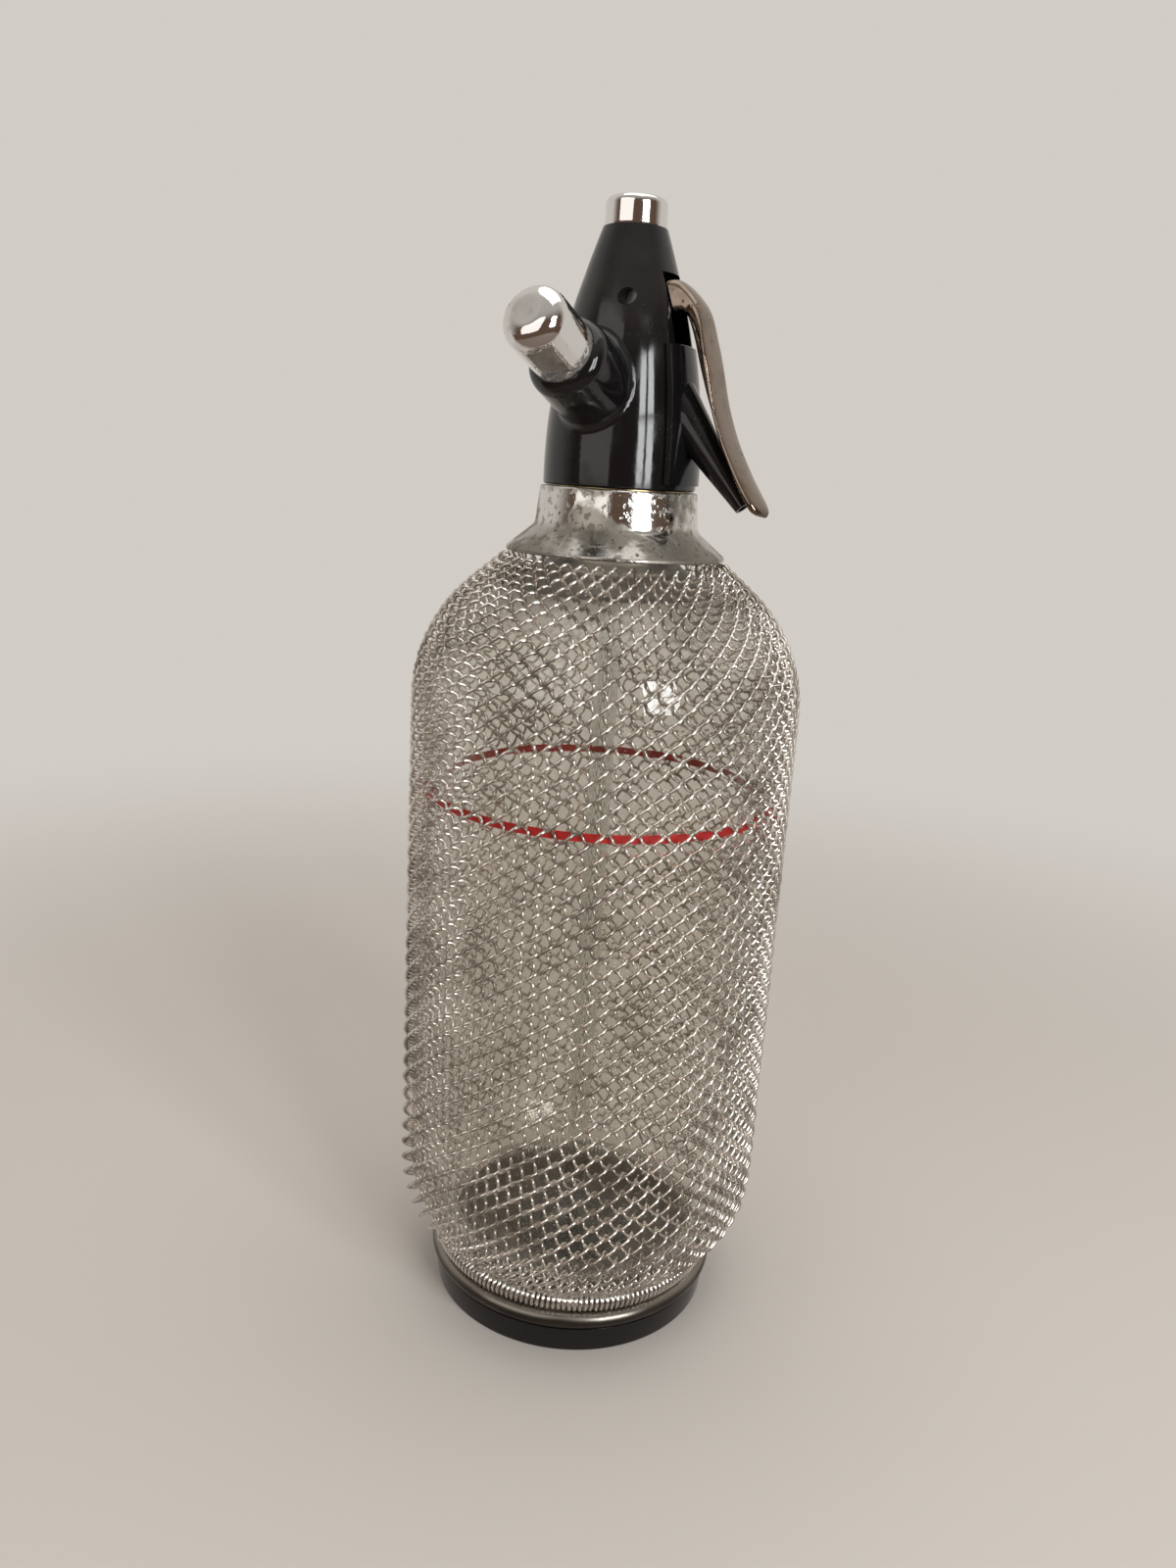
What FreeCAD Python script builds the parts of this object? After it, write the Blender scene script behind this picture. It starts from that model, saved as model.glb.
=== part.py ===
import FreeCAD, Part

import math
import os
import re

import Sketcher
from FreeCAD import Placement, Rotation, Vector

# Soda siphon: a glass bottle in a wire-mesh sleeve, under a lever-worked dispensing head.
# Frame: Z up, origin at the centre of the foot's bottom face, lever and spout towards +X,
# charging boss towards -Y. Millimetres. Each size below is a cell of the sheet "Sizes" and
# every feature is bound to those cells, directly or through a formula in PLACES.

SIZES = [
    # foot and base ring
    ("base_inset", 8.2, "foot's upper edge inside the glass wall"),
    ("foot_taper", 0.7, "foot's narrowing towards the table"),
    ("foot_edge", 0.7, "small rounding of the foot's lower edge"),
    ("foot_height", 9.2, "table to the seat of the base ring"),
    ("foot_rim", 10.3, "width of the rim that stands on the table"),
    ("foot_recess_depth", 2.5, "depth of the hollow under the foot"),
    ("foot_inner_chamfer", 1.5, "slope at the edge of the hollow"),
    ("pedestal_radius", 22.0, "raised middle that carries the glass"),
    ("pedestal_height", 4.8, "height of the raised middle"),
    ("ring_bulge", 1.4, "base ring outside the foot"),
    ("ring_foot_inset", 0.8, "base ring's lower edge inside the foot"),
    ("ring_gap", 0.2, "clearance between the base ring and the glass"),
    ("ring_height", 7.4, "height of the base ring"),
    ("ring_belly", 4.2, "height of the widest place over the seat"),
    ("garter_inset", 2.4, "garter spring's centre circle inside the foot's edge"),
    ("garter_coil_radius", 2.7, "radius of the garter spring's coil"),
    # glass bottle
    ("glass_radius", 59.2, "outer radius of the glass wall"),
    ("glass_wall", 4.5, "thickness of the glass"),
    ("glass_corner", 36.0, "outer radius of the lower corner"),
    ("glass_punt_radius", 12.0, "hollow under the glass"),
    ("glass_punt_depth", 3.0, "height of the hollow under the glass"),
    ("glass_wall_height", 170.5, "height of the straight glass wall"),
    ("shoulder_radius", 40.0, "outer radius of the shoulder's curve"),
    ("shoulder_inset", 23.2, "end of the shoulder's curve inside the wall"),
    ("neck_radius", 19.0, "outer radius of the neck"),
    ("neck_wall", 5.0, "thickness of the neck"),
    ("neck_root_spread", 4.5, "foot of the neck's flare outside the neck"),
    ("neck_root_rise", 42.1, "top of the wall to the foot of the neck's flare"),
    ("neck_flare_height", 3.9, "height of the neck's flare"),
    ("neck_length", 5.5, "straight neck under the bead"),
    ("bead_width", 1.5, "bead round the mouth outside the neck"),
    ("bead_height", 5.0, "height of the bead"),
    ("bead_edge", 0.8, "edge rounding of the bead"),
    # mesh sleeve
    ("mesh_gap", 0.4, "air between the glass and the sleeve"),
    ("mesh_depth", 5.6, "depth of the woven coils"),
    ("mesh_mouth_inset", 12.4, "sleeve's lower end inside its wall"),
    ("mesh_heel_inset", 9.8, "start of the lower curve inside the wall"),
    ("mesh_heel_rise", 3.0, "garter spring to the start of the lower curve"),
    ("mesh_corner_stand", 4.0, "sleeve's lower curve over the glass's corner radius"),
    ("mesh_wall_rise", 2.0, "glass corner to the sleeve's straight wall"),
    ("mesh_wall_drop", 2.5, "sleeve's straight wall ends under the glass shoulder"),
    ("mesh_shoulder_stand", 11.42, "sleeve's shoulder over the glass's shoulder radius"),
    ("mesh_slope_inset", 17.0, "start of the slope inside the wall"),
    ("mesh_slope_rise", 35.7, "start of the slope over the glass wall's top"),
    ("mesh_end_stand", 0.1, "upper end outside the collar's flare"),
    ("mesh_end_play", 0.4, "upper end under the collar's flare"),
    ("mesh_end_width", 4.6, "outer edge of the upper end to its inner edge, across"),
    ("mesh_end_slant", 4.8, "inner edge of the upper end under its outer edge"),
    ("coil_count", 45, "turns of wire round the sleeve"),
    ("coil_gap", 4.8, "width of the hollows between the turns"),
    ("coil_hollow", 2.4, "depth of those hollows"),
    # neck collar and clamp ring
    ("collar_drop", 5.4, "underside of the collar's flare under the bead"),
    ("collar_height", 20.8, "height of the collar"),
    ("collar_wall", 3.15, "wall of the collar at its top"),
    ("collar_clearance", 1.55, "clearance between the bead and the collar's bore"),
    ("collar_taper", 1.3, "collar's widening down to its waist"),
    ("collar_waist_rise", 8.6, "height of the waist above the flare"),
    ("collar_edge", 0.8, "edge rounding of the collar's top"),
    ("collar_lip_rise", 0.4, "inner lip over the flare's underside"),
    ("collar_lip_height", 1.8, "thickness of the inner lip"),
    ("collar_lip_play", 0.4, "clearance between the bead and the inner lip"),
    ("flare_width", 9.0, "width of the flare outside the waist"),
    ("flare_rim", 4.0, "flat rim under the flare"),
    ("flare_edge", 1.1, "thickness of the flare's edge"),
    ("clamp_gap", 0.15, "clearance round the split clamp ring"),
    ("clamp_play", 0.1, "clearance inside the split clamp ring"),
    # neck seal and ferrule
    ("neck_seal_height", 2.2, "thickness of the neck seal"),
    ("neck_seal_inset", 1.0, "neck seal's edge inside the bead"),
    ("neck_seal_spread", 0.3, "neck seal's bore outside the neck's bore"),
    ("thread_play", 0.1, "clearance of the large threads"),
    ("ferrule_wall", 4.95, "wall of the ferrule"),
    ("ferrule_depth", 15.0, "mouth of the glass to the ferrule's web"),
    ("ferrule_web", 7.8, "thickness of the ferrule's web"),
    ("gas_radius", 1.8, "radius of the gas passage"),
    ("gas_land", 1.05, "metal between the valve body and the gas passage"),
    # head
    ("head_gap", 0.3, "gap between the collar and the head"),
    ("head_wall", 2.45, "wall of the head at its underside"),
    ("head_edge", 0.6, "edge rounding of the head's underside"),
    ("head_height", 76.6, "underside of the head to the top cap"),
    ("head_waist_inset", 1.6, "head's lower part narrows by this"),
    ("head_waist_rise", 27.7, "height of the head's lower part"),
    ("head_waist_curve", 180.0, "curve of the head's lower part"),
    ("head_shoulder_inset", 4.7, "head beside the charging boss narrows by this"),
    ("head_shoulder_rise", 45.0, "height of that place over the underside"),
    ("head_shoulder_curve", 150.0, "curve between those two places"),
    ("head_mid_inset", 9.65, "head above the lever slot narrows by this"),
    ("head_mid_rise", 62.3, "height of that place over the underside"),
    ("head_mid_curve", 150.0, "curve below that place"),
    ("head_top_inset", 14.5, "head under the top cap narrows by this"),
    ("head_top_curve", 300.0, "curve under the top cap"),
    ("head_spigot_step", 2.0, "shoulder under the top cap"),
    ("head_spigot_height", 6.0, "height of the spigot inside the top cap"),
    ("cavity_gap", 0.2, "space over the ferrule and over the valve body"),
    ("slot_floor", 1.8, "web between the valve body and the lever slot"),
    ("slot_height", 20.3, "height of the lever slot"),
    ("slot_play", 1.4, "lever slot's width over the lever's"),
    ("lever_cavity_radius", 7.2, "cavity round the lever's fork"),
    ("spring_cavity_radius", 5.9, "cavity round the valve spring"),
    # charging boss
    ("boss_rise", 19.9, "underside of the head to the boss axis, on the head axis"),
    ("boss_tilt", 25.0, "upward tilt of the boss, degrees"),
    ("boss_wall", 5.05, "wall of the boss"),
    ("boss_end_step", 0.35, "boss's end face outside the charger cap"),
    ("boss_lip", 4.6, "rounding round the boss's end"),
    ("boss_blend_radius", 3.0, "blend between the boss and the head"),
    ("boss_length", 41.5, "head axis to the boss's end face"),
    ("boss_bore_radius", 7.55, "bore of the boss"),
    ("boss_bore_floor", 20.0, "head axis to the floor of the bore"),
    ("boss_gas_start", 14.2, "inner end of the gas hole in the floor"),
    ("boss_gas_rise", 6.2, "upper end of the gas passage over the boss axis"),
    # charging parts
    ("nipple_seal_height", 1.2, "thickness of the nipple seal"),
    ("nipple_seal_play", 0.15, "clearance round the nipple seal"),
    ("nipple_seal_bore", 3.0, "bore of the nipple seal"),
    ("nipple_play", 0.05, "clearance round the nipple"),
    ("nipple_reach", 13.7, "nipple's mouth outside the boss"),
    ("nipple_wall", 2.0, "wall of the nipple"),
    ("nipple_chamber", 11.8, "inner cavity of the nipple"),
    ("nipple_web", 2.5, "web that holds the piercing pin"),
    ("nipple_mouth_wall", 2.5, "wall of the nipple's mouth"),
    ("nipple_chamfer", 0.7, "edge of the nipple's mouth"),
    ("pierce_shank_radius", 2.0, "shank of the piercing pin"),
    ("pierce_play", 0.03, "clearance round the shank"),
    ("pierce_flange_radius", 4.2, "flange of the piercing pin"),
    ("pierce_flange_height", 1.5, "flange thickness"),
    ("pierce_tail", 9.0, "piercing pin inside the web"),
    ("pierce_point", 10.5, "piercing pin outside the web"),
    ("pierce_neck_radius", 1.3, "point of the piercing pin, root"),
    ("pierce_bore_radius", 0.6, "gas bore of the piercing pin"),
    ("sleeve_wall", 1.17, "thickness of the rubber valve sleeve"),
    ("sleeve_length", 8.3, "length of the rubber valve sleeve"),
    ("sleeve_gap", 0.1, "gap between the rubber valve sleeve and the web"),
    ("cap_play", 0.1, "clearance inside the charger cap"),
    ("cap_wall", 2.25, "wall of the charger cap"),
    ("cap_crown", 5.3, "end wall of the charger cap"),
    ("cap_dome", 5.5, "rounding of the charger cap's end"),
    ("cap_rim", 2.1, "charger cap under its grip flats"),
    ("cap_flat_length", 12.6, "length of the grip flats"),
    ("cap_flat_width", 8.8, "width of the grip flats"),
    ("cap_flat_depth", 1.55, "depth of the grip flats"),
    ("cap_turn", 15.0, "turn of the grip flats about the axis, degrees"),
    ("gasket_height", 1.8, "thickness of the cap gasket"),
    ("gasket_play", 0.2, "clearance round the cap gasket"),
    ("gasket_bore", 4.0, "bore of the cap gasket"),
    # top cap
    ("top_cap_play", 0.05, "clearance between the top cap and its spigot"),
    ("top_cap_wall", 1.5, "wall of the top cap"),
    ("top_cap_space", 0.7, "space over the spigot"),
    ("top_cap_crown", 2.0, "thickness of the top cap's end"),
    ("top_cap_edge", 2.6, "edge rounding of the top cap"),
    # valve
    ("body_radius", 11.0, "outer radius of the valve body"),
    ("body_play", 0.05, "clearance round the valve body and its neck"),
    ("body_neck_radius", 8.0, "threaded neck of the valve body"),
    ("body_neck_drop", 5.5, "threaded neck under the ferrule's web"),
    ("body_throat_radius", 3.0, "throat under the seat"),
    ("throat_length", 11.0, "ferrule's web to the valve chamber"),
    ("chamber_radius", 6.2, "valve chamber"),
    ("chamber_height", 11.0, "valve chamber up to the stem seal"),
    ("gland_bore_radius", 6.9, "bore above the ledge"),
    ("gland_length", 15.0, "stem seal and gland nut together"),
    ("seat_height", 2.0, "thickness of the valve seat"),
    ("seat_play", 0.05, "clearance round the valve seat and the stem seal"),
    ("outlet_radius", 2.0, "outlet hole of the valve chamber"),
    ("outlet_rise", 4.0, "outlet over the chamber's floor"),
    ("stem_radius", 2.5, "radius of the valve stem"),
    ("stem_play", 0.05, "clearance of the stem in its seal and gland"),
    ("stem_hole_play", 0.5, "clearance of the stem in the head"),
    ("stem_end", 9.0, "stem over its nut"),
    ("stem_flange_radius", 4.0, "flange over the washer"),
    ("stem_flange_height", 1.6, "flange thickness"),
    ("stem_tip_radius", 1.45, "stem inside the washer"),
    ("rivet_radius", 2.2, "rivet head under the washer"),
    ("rivet_height", 1.0, "height of the rivet head"),
    ("valve_lift", 1.4, "washer over its seat, valve open"),
    ("washer_height", 3.0, "thickness of the valve washer"),
    ("washer_radius", 5.5, "radius of the valve washer"),
    ("fit_play", 0.03, "clearance of the washer, the nut and the dip tube"),
    ("seal_height", 2.0, "thickness of the stem seal"),
    ("gland_play", 0.04, "clearance round the gland nut"),
    ("nut_rise", 2.1, "stem nut over the lever pin"),
    ("nut_height", 3.9, "height of the stem nut"),
    ("nut_radius", 3.6, "radius of the stem nut"),
    ("spring_radius", 3.1, "centre radius of the valve spring"),
    ("spring_wire", 0.5, "wire radius of the valve spring"),
    ("spring_pitch", 3.5, "pitch of the valve spring"),
    # lever
    ("pin_offset", 7.3, "lever pin in front of the axis"),
    ("pin_rise", 12.0, "lever pin over the slot's floor"),
    ("pin_radius", 2.45, "radius of the lever pin"),
    ("pin_play", 0.05, "clearance round the lever pin"),
    ("pin_half_length", 11.0, "half the length of the lever pin"),
    ("hub_radius", 3.9, "lever round its pin"),
    ("arm_width", 9.6, "width of the lever inside the slot"),
    ("blade_width", 12.4, "width of the lever's handle"),
    ("tip_edge", 1.2, "rounding of the handle's tip"),
    ("bend_radius", 22.24, "outer radius of the handle's bend"),
    ("bow_radius", 8.33, "inner radius of the handle's bend"),
    ("back_curve", 92.5, "outer side's curve, upper half"),
    ("tip_curve", 120.0, "outer side's curve, lower half"),
    ("palm_curve", 129.6, "inner side's curve"),
    ("rib_width", 3.2, "width of the rib down the inner side"),
    ("fork_gap", 5.8, "gap between the fork's prongs"),
    ("fork_reach", 4.2, "fork past the head axis"),
    ("fork_rise", 0.9, "upper face of the prongs over the pin"),
    ("fork_drop", 3.4, "lower face of the prongs under the pin"),
    ("nose_radius", 2.6, "rounded nose of the prongs"),
    ("nose_rise", 1.9, "top of the rounded nose over the pin"),
    ("notch_play", 0.5, "clearance between the stem nut and the lever's notch"),
    ("notch_rise", 0.3, "floor of that notch over the pin"),
    # nozzle
    ("spigot_radius", 4.0, "spigot of the nozzle inside the head"),
    ("spigot_play", 0.05, "clearance of the nozzle's root and spigot"),
    ("spigot_gap", 0.2, "end of the spigot to the valve body"),
    ("socket_floor", 20.0, "floor of the nozzle's socket"),
    ("nozzle_root_radius", 6.0, "nozzle inside the socket"),
    ("shield_angle", 56.0, "angle that the nozzle's shield spans round the head, degrees"),
    ("shield_gap", 0.05, "clearance between the head and the shield"),
    ("shield_wall", 0.9, "thickness of the shield"),
    ("shield_rise", 1.9, "lower edge of the shield over the head's underside"),
    ("shield_drop", 0.5, "upper edge of the shield under the slot"),
    ("tip_reach", 19.4, "spout's end outside the head"),
    ("tip_drop", 22.8, "spout's end under the outlet"),
    ("tip_radius", 2.4, "outer radius of the spout's end"),
    ("spout_slope", 49.8, "downward slope of the spout, degrees"),
    ("spout_length", 44.0, "length of the spout's cone, into the head's side"),
    ("spout_root_radius", 7.9, "radius of the cone at its hidden end"),
    ("spout_bore", 1.6, "bore of the spout"),
    ("spout_bore_length", 29.9, "length of the spout's bore"),
    # dip tube
    ("dip_radius", 4.0, "outer radius of the dip tube"),
    ("dip_wall", 1.2, "wall of the dip tube"),
    ("dip_clearance", 19.0, "underside of the glass to the dip tube"),
    ("tube_nut_radius", 12.0, "outer radius of the tube nut"),
    ("tube_nut_height", 4.5, "height of the tube nut"),
]

# Places and fits that follow from the sizes above, each from the ones before it.
PLACES = [
    ("foot_side_radius", "glass_radius - base_inset"),
    ("foot_bottom_radius", "foot_side_radius - foot_taper"),
    ("foot_recess_radius", "foot_bottom_radius - foot_rim"),
    ("ring_top", "foot_height + ring_height"),
    ("ring_radius", "foot_side_radius + ring_bulge"),
    ("ring_foot_radius", "foot_side_radius - ring_foot_inset"),
    ("garter_radius", "foot_side_radius - garter_inset"),
    ("garter_level", "ring_top + garter_coil_radius"),
    ("garter_top", "ring_top + 2 * garter_coil_radius"),
    ("glass_bottom", "foot_height + pedestal_height"),
    ("corner_centre", "glass_radius - glass_corner"),
    ("corner_level", "glass_bottom + glass_corner"),
    ("ring_bore_radius",
     "corner_centre + sqrt(glass_corner ^ 2 - (corner_level - ring_top) ^ 2) + ring_gap"),
    ("shoulder_level", "corner_level + glass_wall_height"),
    ("shoulder_end", "glass_radius - shoulder_inset"),
    ("shoulder_centre", "glass_radius - shoulder_radius"),
    ("shoulder_rise", "sqrt(shoulder_radius ^ 2 - (shoulder_end - shoulder_centre) ^ 2)"),
    ("inner_share", "(shoulder_radius - glass_wall) / shoulder_radius"),
    ("neck_root_radius", "neck_radius + neck_root_spread"),
    ("neck_root_level", "shoulder_level + neck_root_rise"),
    ("neck_start", "neck_root_level + neck_flare_height"),
    ("neck_bore_radius", "neck_radius - neck_wall"),
    ("bead_radius", "neck_radius + bead_width"),
    ("bead_level", "neck_start + neck_length"),
    ("glass_top", "bead_level + bead_height"),
    ("mesh_radius", "glass_radius + mesh_gap + mesh_depth"),
    ("mesh_corner", "glass_corner + mesh_corner_stand"),
    ("mesh_shoulder", "shoulder_radius + mesh_shoulder_stand"),
    ("mesh_mouth_radius", "mesh_radius - mesh_mouth_inset"),
    ("mesh_heel_radius", "mesh_radius - mesh_heel_inset"),
    ("mesh_heel_level", "garter_top + mesh_heel_rise"),
    ("mesh_wall_start", "corner_level + mesh_wall_rise"),
    ("mesh_wall_end", "shoulder_level - mesh_wall_drop"),
    ("mesh_slope_radius", "mesh_radius - mesh_slope_inset"),
    ("mesh_slope_level", "shoulder_level + mesh_slope_rise"),
    ("mesh_lower_bore", "glass_corner + mesh_gap"),
    ("collar_bottom", "bead_level - collar_drop"),
    ("collar_top", "collar_bottom + collar_height"),
    ("collar_bore_radius", "bead_radius + collar_clearance"),
    ("collar_top_radius", "collar_bore_radius + collar_wall"),
    ("collar_waist_radius", "collar_top_radius + collar_taper"),
    ("collar_waist_level", "collar_bottom + collar_waist_rise"),
    ("collar_lip_radius", "bead_radius + collar_lip_play"),
    ("collar_lip_bottom", "collar_bottom + collar_lip_rise"),
    ("collar_lip_top", "collar_lip_bottom + collar_lip_height"),
    ("flare_radius", "collar_waist_radius + flare_width"),
    ("flare_hollow_radius", "flare_radius - flare_rim"),
    ("mesh_end_radius", "flare_radius + mesh_end_stand"),
    ("mesh_end_level", "collar_bottom - mesh_end_play"),
    ("mesh_lip_radius", "mesh_end_radius - mesh_end_width"),
    ("mesh_lip_level", "mesh_end_level - mesh_end_slant"),
    ("clamp_radius", "collar_bore_radius - clamp_gap"),
    ("clamp_bore_radius", "neck_radius + clamp_play"),
    ("neck_seal_radius", "bead_radius - neck_seal_inset"),
    ("neck_seal_bore", "neck_bore_radius + neck_seal_spread"),
    ("neck_seal_top", "glass_top + neck_seal_height"),
    ("ferrule_radius", "collar_bore_radius - thread_play"),
    ("ferrule_cavity_radius", "ferrule_radius - ferrule_wall"),
    ("ferrule_web_bottom", "glass_top + ferrule_depth"),
    ("ferrule_top", "ferrule_web_bottom + ferrule_web"),
    ("web_hole_radius", "body_neck_radius + body_play"),
    ("body_neck_bottom", "ferrule_web_bottom - body_neck_drop"),
    ("chamber_floor", "ferrule_web_bottom + throat_length"),
    ("chamber_ledge", "chamber_floor + chamber_height"),
    ("body_top", "chamber_ledge + gland_length"),
    ("valve_cavity_radius", "body_radius + body_play"),
    ("valve_cavity_top", "body_top + cavity_gap"),
    ("gas_offset", "valve_cavity_radius + gas_radius + gas_land"),
    ("head_bottom", "collar_top + head_gap"),
    ("head_cavity_radius", "ferrule_radius + thread_play"),
    ("head_cavity_top", "ferrule_top + cavity_gap"),
    ("head_bottom_radius", "head_cavity_radius + head_wall"),
    ("head_waist_radius", "head_bottom_radius - head_waist_inset"),
    ("head_waist_level", "head_bottom + head_waist_rise"),
    ("head_shoulder_radius", "head_bottom_radius - head_shoulder_inset"),
    ("head_shoulder_level", "head_bottom + head_shoulder_rise"),
    ("head_mid_radius", "head_bottom_radius - head_mid_inset"),
    ("head_mid_level", "head_bottom + head_mid_rise"),
    ("head_top_radius", "head_bottom_radius - head_top_inset"),
    ("head_top", "head_bottom + head_height"),
    ("head_spigot_radius", "head_top_radius - head_spigot_step"),
    ("head_spigot_top", "head_top + head_spigot_height"),
    ("slot_bottom", "valve_cavity_top + slot_floor"),
    ("slot_top", "slot_bottom + slot_height"),
    ("slot_width", "arm_width + slot_play"),
    ("stem_hole_radius", "stem_radius + stem_hole_play"),
    ("boss_level", "head_bottom + boss_rise"),
    ("boss_radius", "boss_bore_radius + boss_wall"),
    ("seal_end", "boss_bore_floor + nipple_seal_height"),
    ("nipple_seal_radius", "boss_bore_radius - nipple_seal_play"),
    ("nipple_radius", "boss_bore_radius - nipple_play"),
    ("nipple_cavity_radius", "nipple_radius - nipple_wall"),
    ("nipple_mouth_radius", "nipple_radius - nipple_mouth_wall"),
    ("nipple_end", "boss_length + nipple_reach"),
    ("nipple_web_start", "seal_end + nipple_chamber"),
    ("nipple_web_end", "nipple_web_start + nipple_web"),
    ("pierce_hole_radius", "pierce_shank_radius + pierce_play"),
    ("pierce_start", "nipple_web_start - pierce_tail"),
    ("pierce_end", "nipple_web_end + pierce_point"),
    ("sleeve_radius", "pierce_hole_radius + sleeve_wall"),
    ("sleeve_end", "nipple_web_start - sleeve_gap"),
    ("cap_bore_radius", "nipple_radius + cap_play"),
    ("cap_radius", "cap_bore_radius + cap_wall"),
    ("cap_bore_end", "nipple_end + gasket_height"),
    ("cap_end", "cap_bore_end + cap_crown"),
    ("cap_flat_level", "cap_radius - cap_flat_depth"),
    ("cap_flat_middle", "boss_length + cap_rim + cap_flat_length / 2"),
    ("boss_end_radius", "cap_radius + boss_end_step"),
    ("gasket_radius", "cap_bore_radius - gasket_play"),
    ("top_cap_bore", "head_spigot_radius + top_cap_play"),
    ("top_cap_radius", "top_cap_bore + top_cap_wall"),
    ("top_cap_ceiling", "head_spigot_top + top_cap_space"),
    ("top_cap_top", "top_cap_ceiling + top_cap_crown"),
    ("outlet_level", "chamber_floor + outlet_rise"),
    ("seat_radius", "chamber_radius - seat_play"),
    ("seat_top", "chamber_floor + seat_height"),
    ("washer_bottom", "seat_top + valve_lift"),
    ("washer_top", "washer_bottom + washer_height"),
    ("washer_bore", "stem_tip_radius + fit_play"),
    ("seal_radius", "gland_bore_radius - seat_play"),
    ("gland_radius", "gland_bore_radius - gland_play"),
    ("gland_bottom", "chamber_ledge + seal_height"),
    ("stem_bore", "stem_radius + stem_play"),
    ("nut_bore", "stem_radius + fit_play"),
    ("pin_level", "slot_bottom + pin_rise"),
    ("pin_hole_radius", "pin_radius + pin_play"),
    ("nut_bottom", "pin_level + nut_rise"),
    ("nut_top", "nut_bottom + nut_height"),
    ("notch_end", "nut_radius + notch_play"),
    ("stem_top", "nut_top + stem_end"),
    ("fork_top", "pin_level + fork_rise"),
    ("fork_bottom", "pin_level - fork_drop"),
    ("nose_level", "pin_level + nose_rise - nose_radius"),
    ("socket_radius", "nozzle_root_radius + spigot_play"),
    ("spigot_hole_radius", "spigot_radius + spigot_play"),
    ("spigot_start", "body_radius + spigot_gap"),
    ("shield_bottom", "head_bottom + shield_rise"),
    ("shield_top", "slot_bottom - shield_drop"),
    ("tip_across", "head_bottom_radius + tip_reach"),
    ("tip_level", "outlet_level - tip_drop"),
    ("dip_bore", "dip_radius - dip_wall"),
    ("dip_bottom", "glass_bottom + dip_clearance"),
    ("dip_socket_radius", "dip_radius + fit_play"),
]

# The lever's outlines: places in front of its pin and above it (below it where negative).
OUTLINES = [
    ("root_top", 6.7, 6.4, "handle's upper side at its root"),
    ("bend_start", 11.7, 5.0, "start of the handle's bend"),
    ("bend_end", 21.5, -10.7, "end of the handle's bend"),
    ("back_upper", 23.7, -18.0, "outer side, start of the long curve"),
    ("back_middle", 30.2, -37.7, "outer side, middle"),
    ("back_lower", 39.1, -53.0, "outer side, near the tip"),
    ("tip_outer", 45.3, -61.1, "tip, outer side"),
    ("tip_inner", 43.6, -61.6, "tip, inner side"),
    ("palm_lower", 39.5, -57.4, "inner side, near the tip"),
    ("palm_middle", 29.0, -38.8, "inner side, middle"),
    ("palm_upper", 21.5, -18.0, "inner side, under the bend"),
    ("bow_end", 19.2, -10.7, "inner end of the bend"),
    ("bow_start", 14.7, -4.0, "inner start of the bend"),
    ("root_bottom", 8.7, -2.5, "handle's lower side at its root"),
    ("rib_root", 13.2, -3.5, "rib at the lever's arm"),
    ("rib_one", 14.7, -6.5, "rib's edge, first place"),
    ("rib_two", 16.5, -11.0, "rib's edge, second place"),
    ("rib_three", 18.8, -18.0, "rib's edge, third place"),
    ("rib_four", 22.6, -28.0, "rib's edge, fourth place"),
    ("rib_five", 26.6, -36.5, "rib's edge, fifth place"),
    ("rib_end", 29.6, -39.5, "end of the rib"),
    ("rib_back_four", 25.3, -27.0, "rib's back inside the handle, fourth place"),
    ("rib_back_three", 22.1, -18.0, "rib's back inside the handle, third place"),
    ("rib_back_two", 19.8, -10.7, "rib's back inside the handle, second place"),
    ("rib_back_one", 17.7, -5.0, "rib's back inside the handle, first place"),
    ("shoulder_low", 10.2, -13.0, "end of the narrow part, under the arm"),
    ("shoulder_middle", 13.2, -4.0, "end of the narrow part, at the arm"),
    ("shoulder_high", 12.3, 9.0, "end of the narrow part, over the arm"),
    ("arm_underside", 9.0, -3.9, "arm's underside before the handle"),
    ("arm_rise", 11.9, -3.3, "arm's underside where it rises"),
    ("arm_under_bend", 14.7, -4.0, "arm inside the bend, underside"),
    ("arm_at_bend", 13.7, 3.4, "arm inside the bend, back"),
    ("arm_back", 11.7, 5.0, "arm's upper side at the bend"),
    ("arm_top", 6.7, 6.2, "arm's highest place"),
]
for spot, reach, rise, place in OUTLINES:
    SIZES.append((spot + "_reach", reach, place + ", in front of the pin"))
    SIZES.append((spot + "_rise", rise, place + ", over the pin"))

doc = FreeCAD.newDocument("SodaSiphon")
sheet = doc.addObject("Spreadsheet::Sheet", "Sizes")
for row, (alias, value, meaning) in enumerate(SIZES, start=1):
    sheet.set("A%d" % row, meaning)
    sheet.set("B%d" % row, repr(value))
    sheet.setAlias("B%d" % row, alias)
doc.recompute()

ALIASES = {alias for alias, value, meaning in SIZES}
FORMULAS = dict(PLACES)
PARTS = []


def bound(expression):
    """Writes a formula of sizes and places as the sheet's own cells."""
    def cell(word):
        name = word.group(0)
        if name in FORMULAS:
            return "(" + bound(FORMULAS[name]) + ")"
        return "Sizes." + name if name in ALIASES else name
    return re.sub(r"[a-z][a-z_]+", cell, expression)


def number(expression):
    """The present value of a formula, for a feature's starting shape."""
    return float(sheet.evalExpression(bound(expression)))


def body(name):
    """A new sub-part."""
    part = doc.addObject("PartDesign::Body", name)
    part.Label = name
    PARTS.append(part)
    return part


def origin_plane(part, role):
    """One of the body's own three planes."""
    return [item for item in part.Origin.OriginFeatures if item.Role == role][0]


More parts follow.
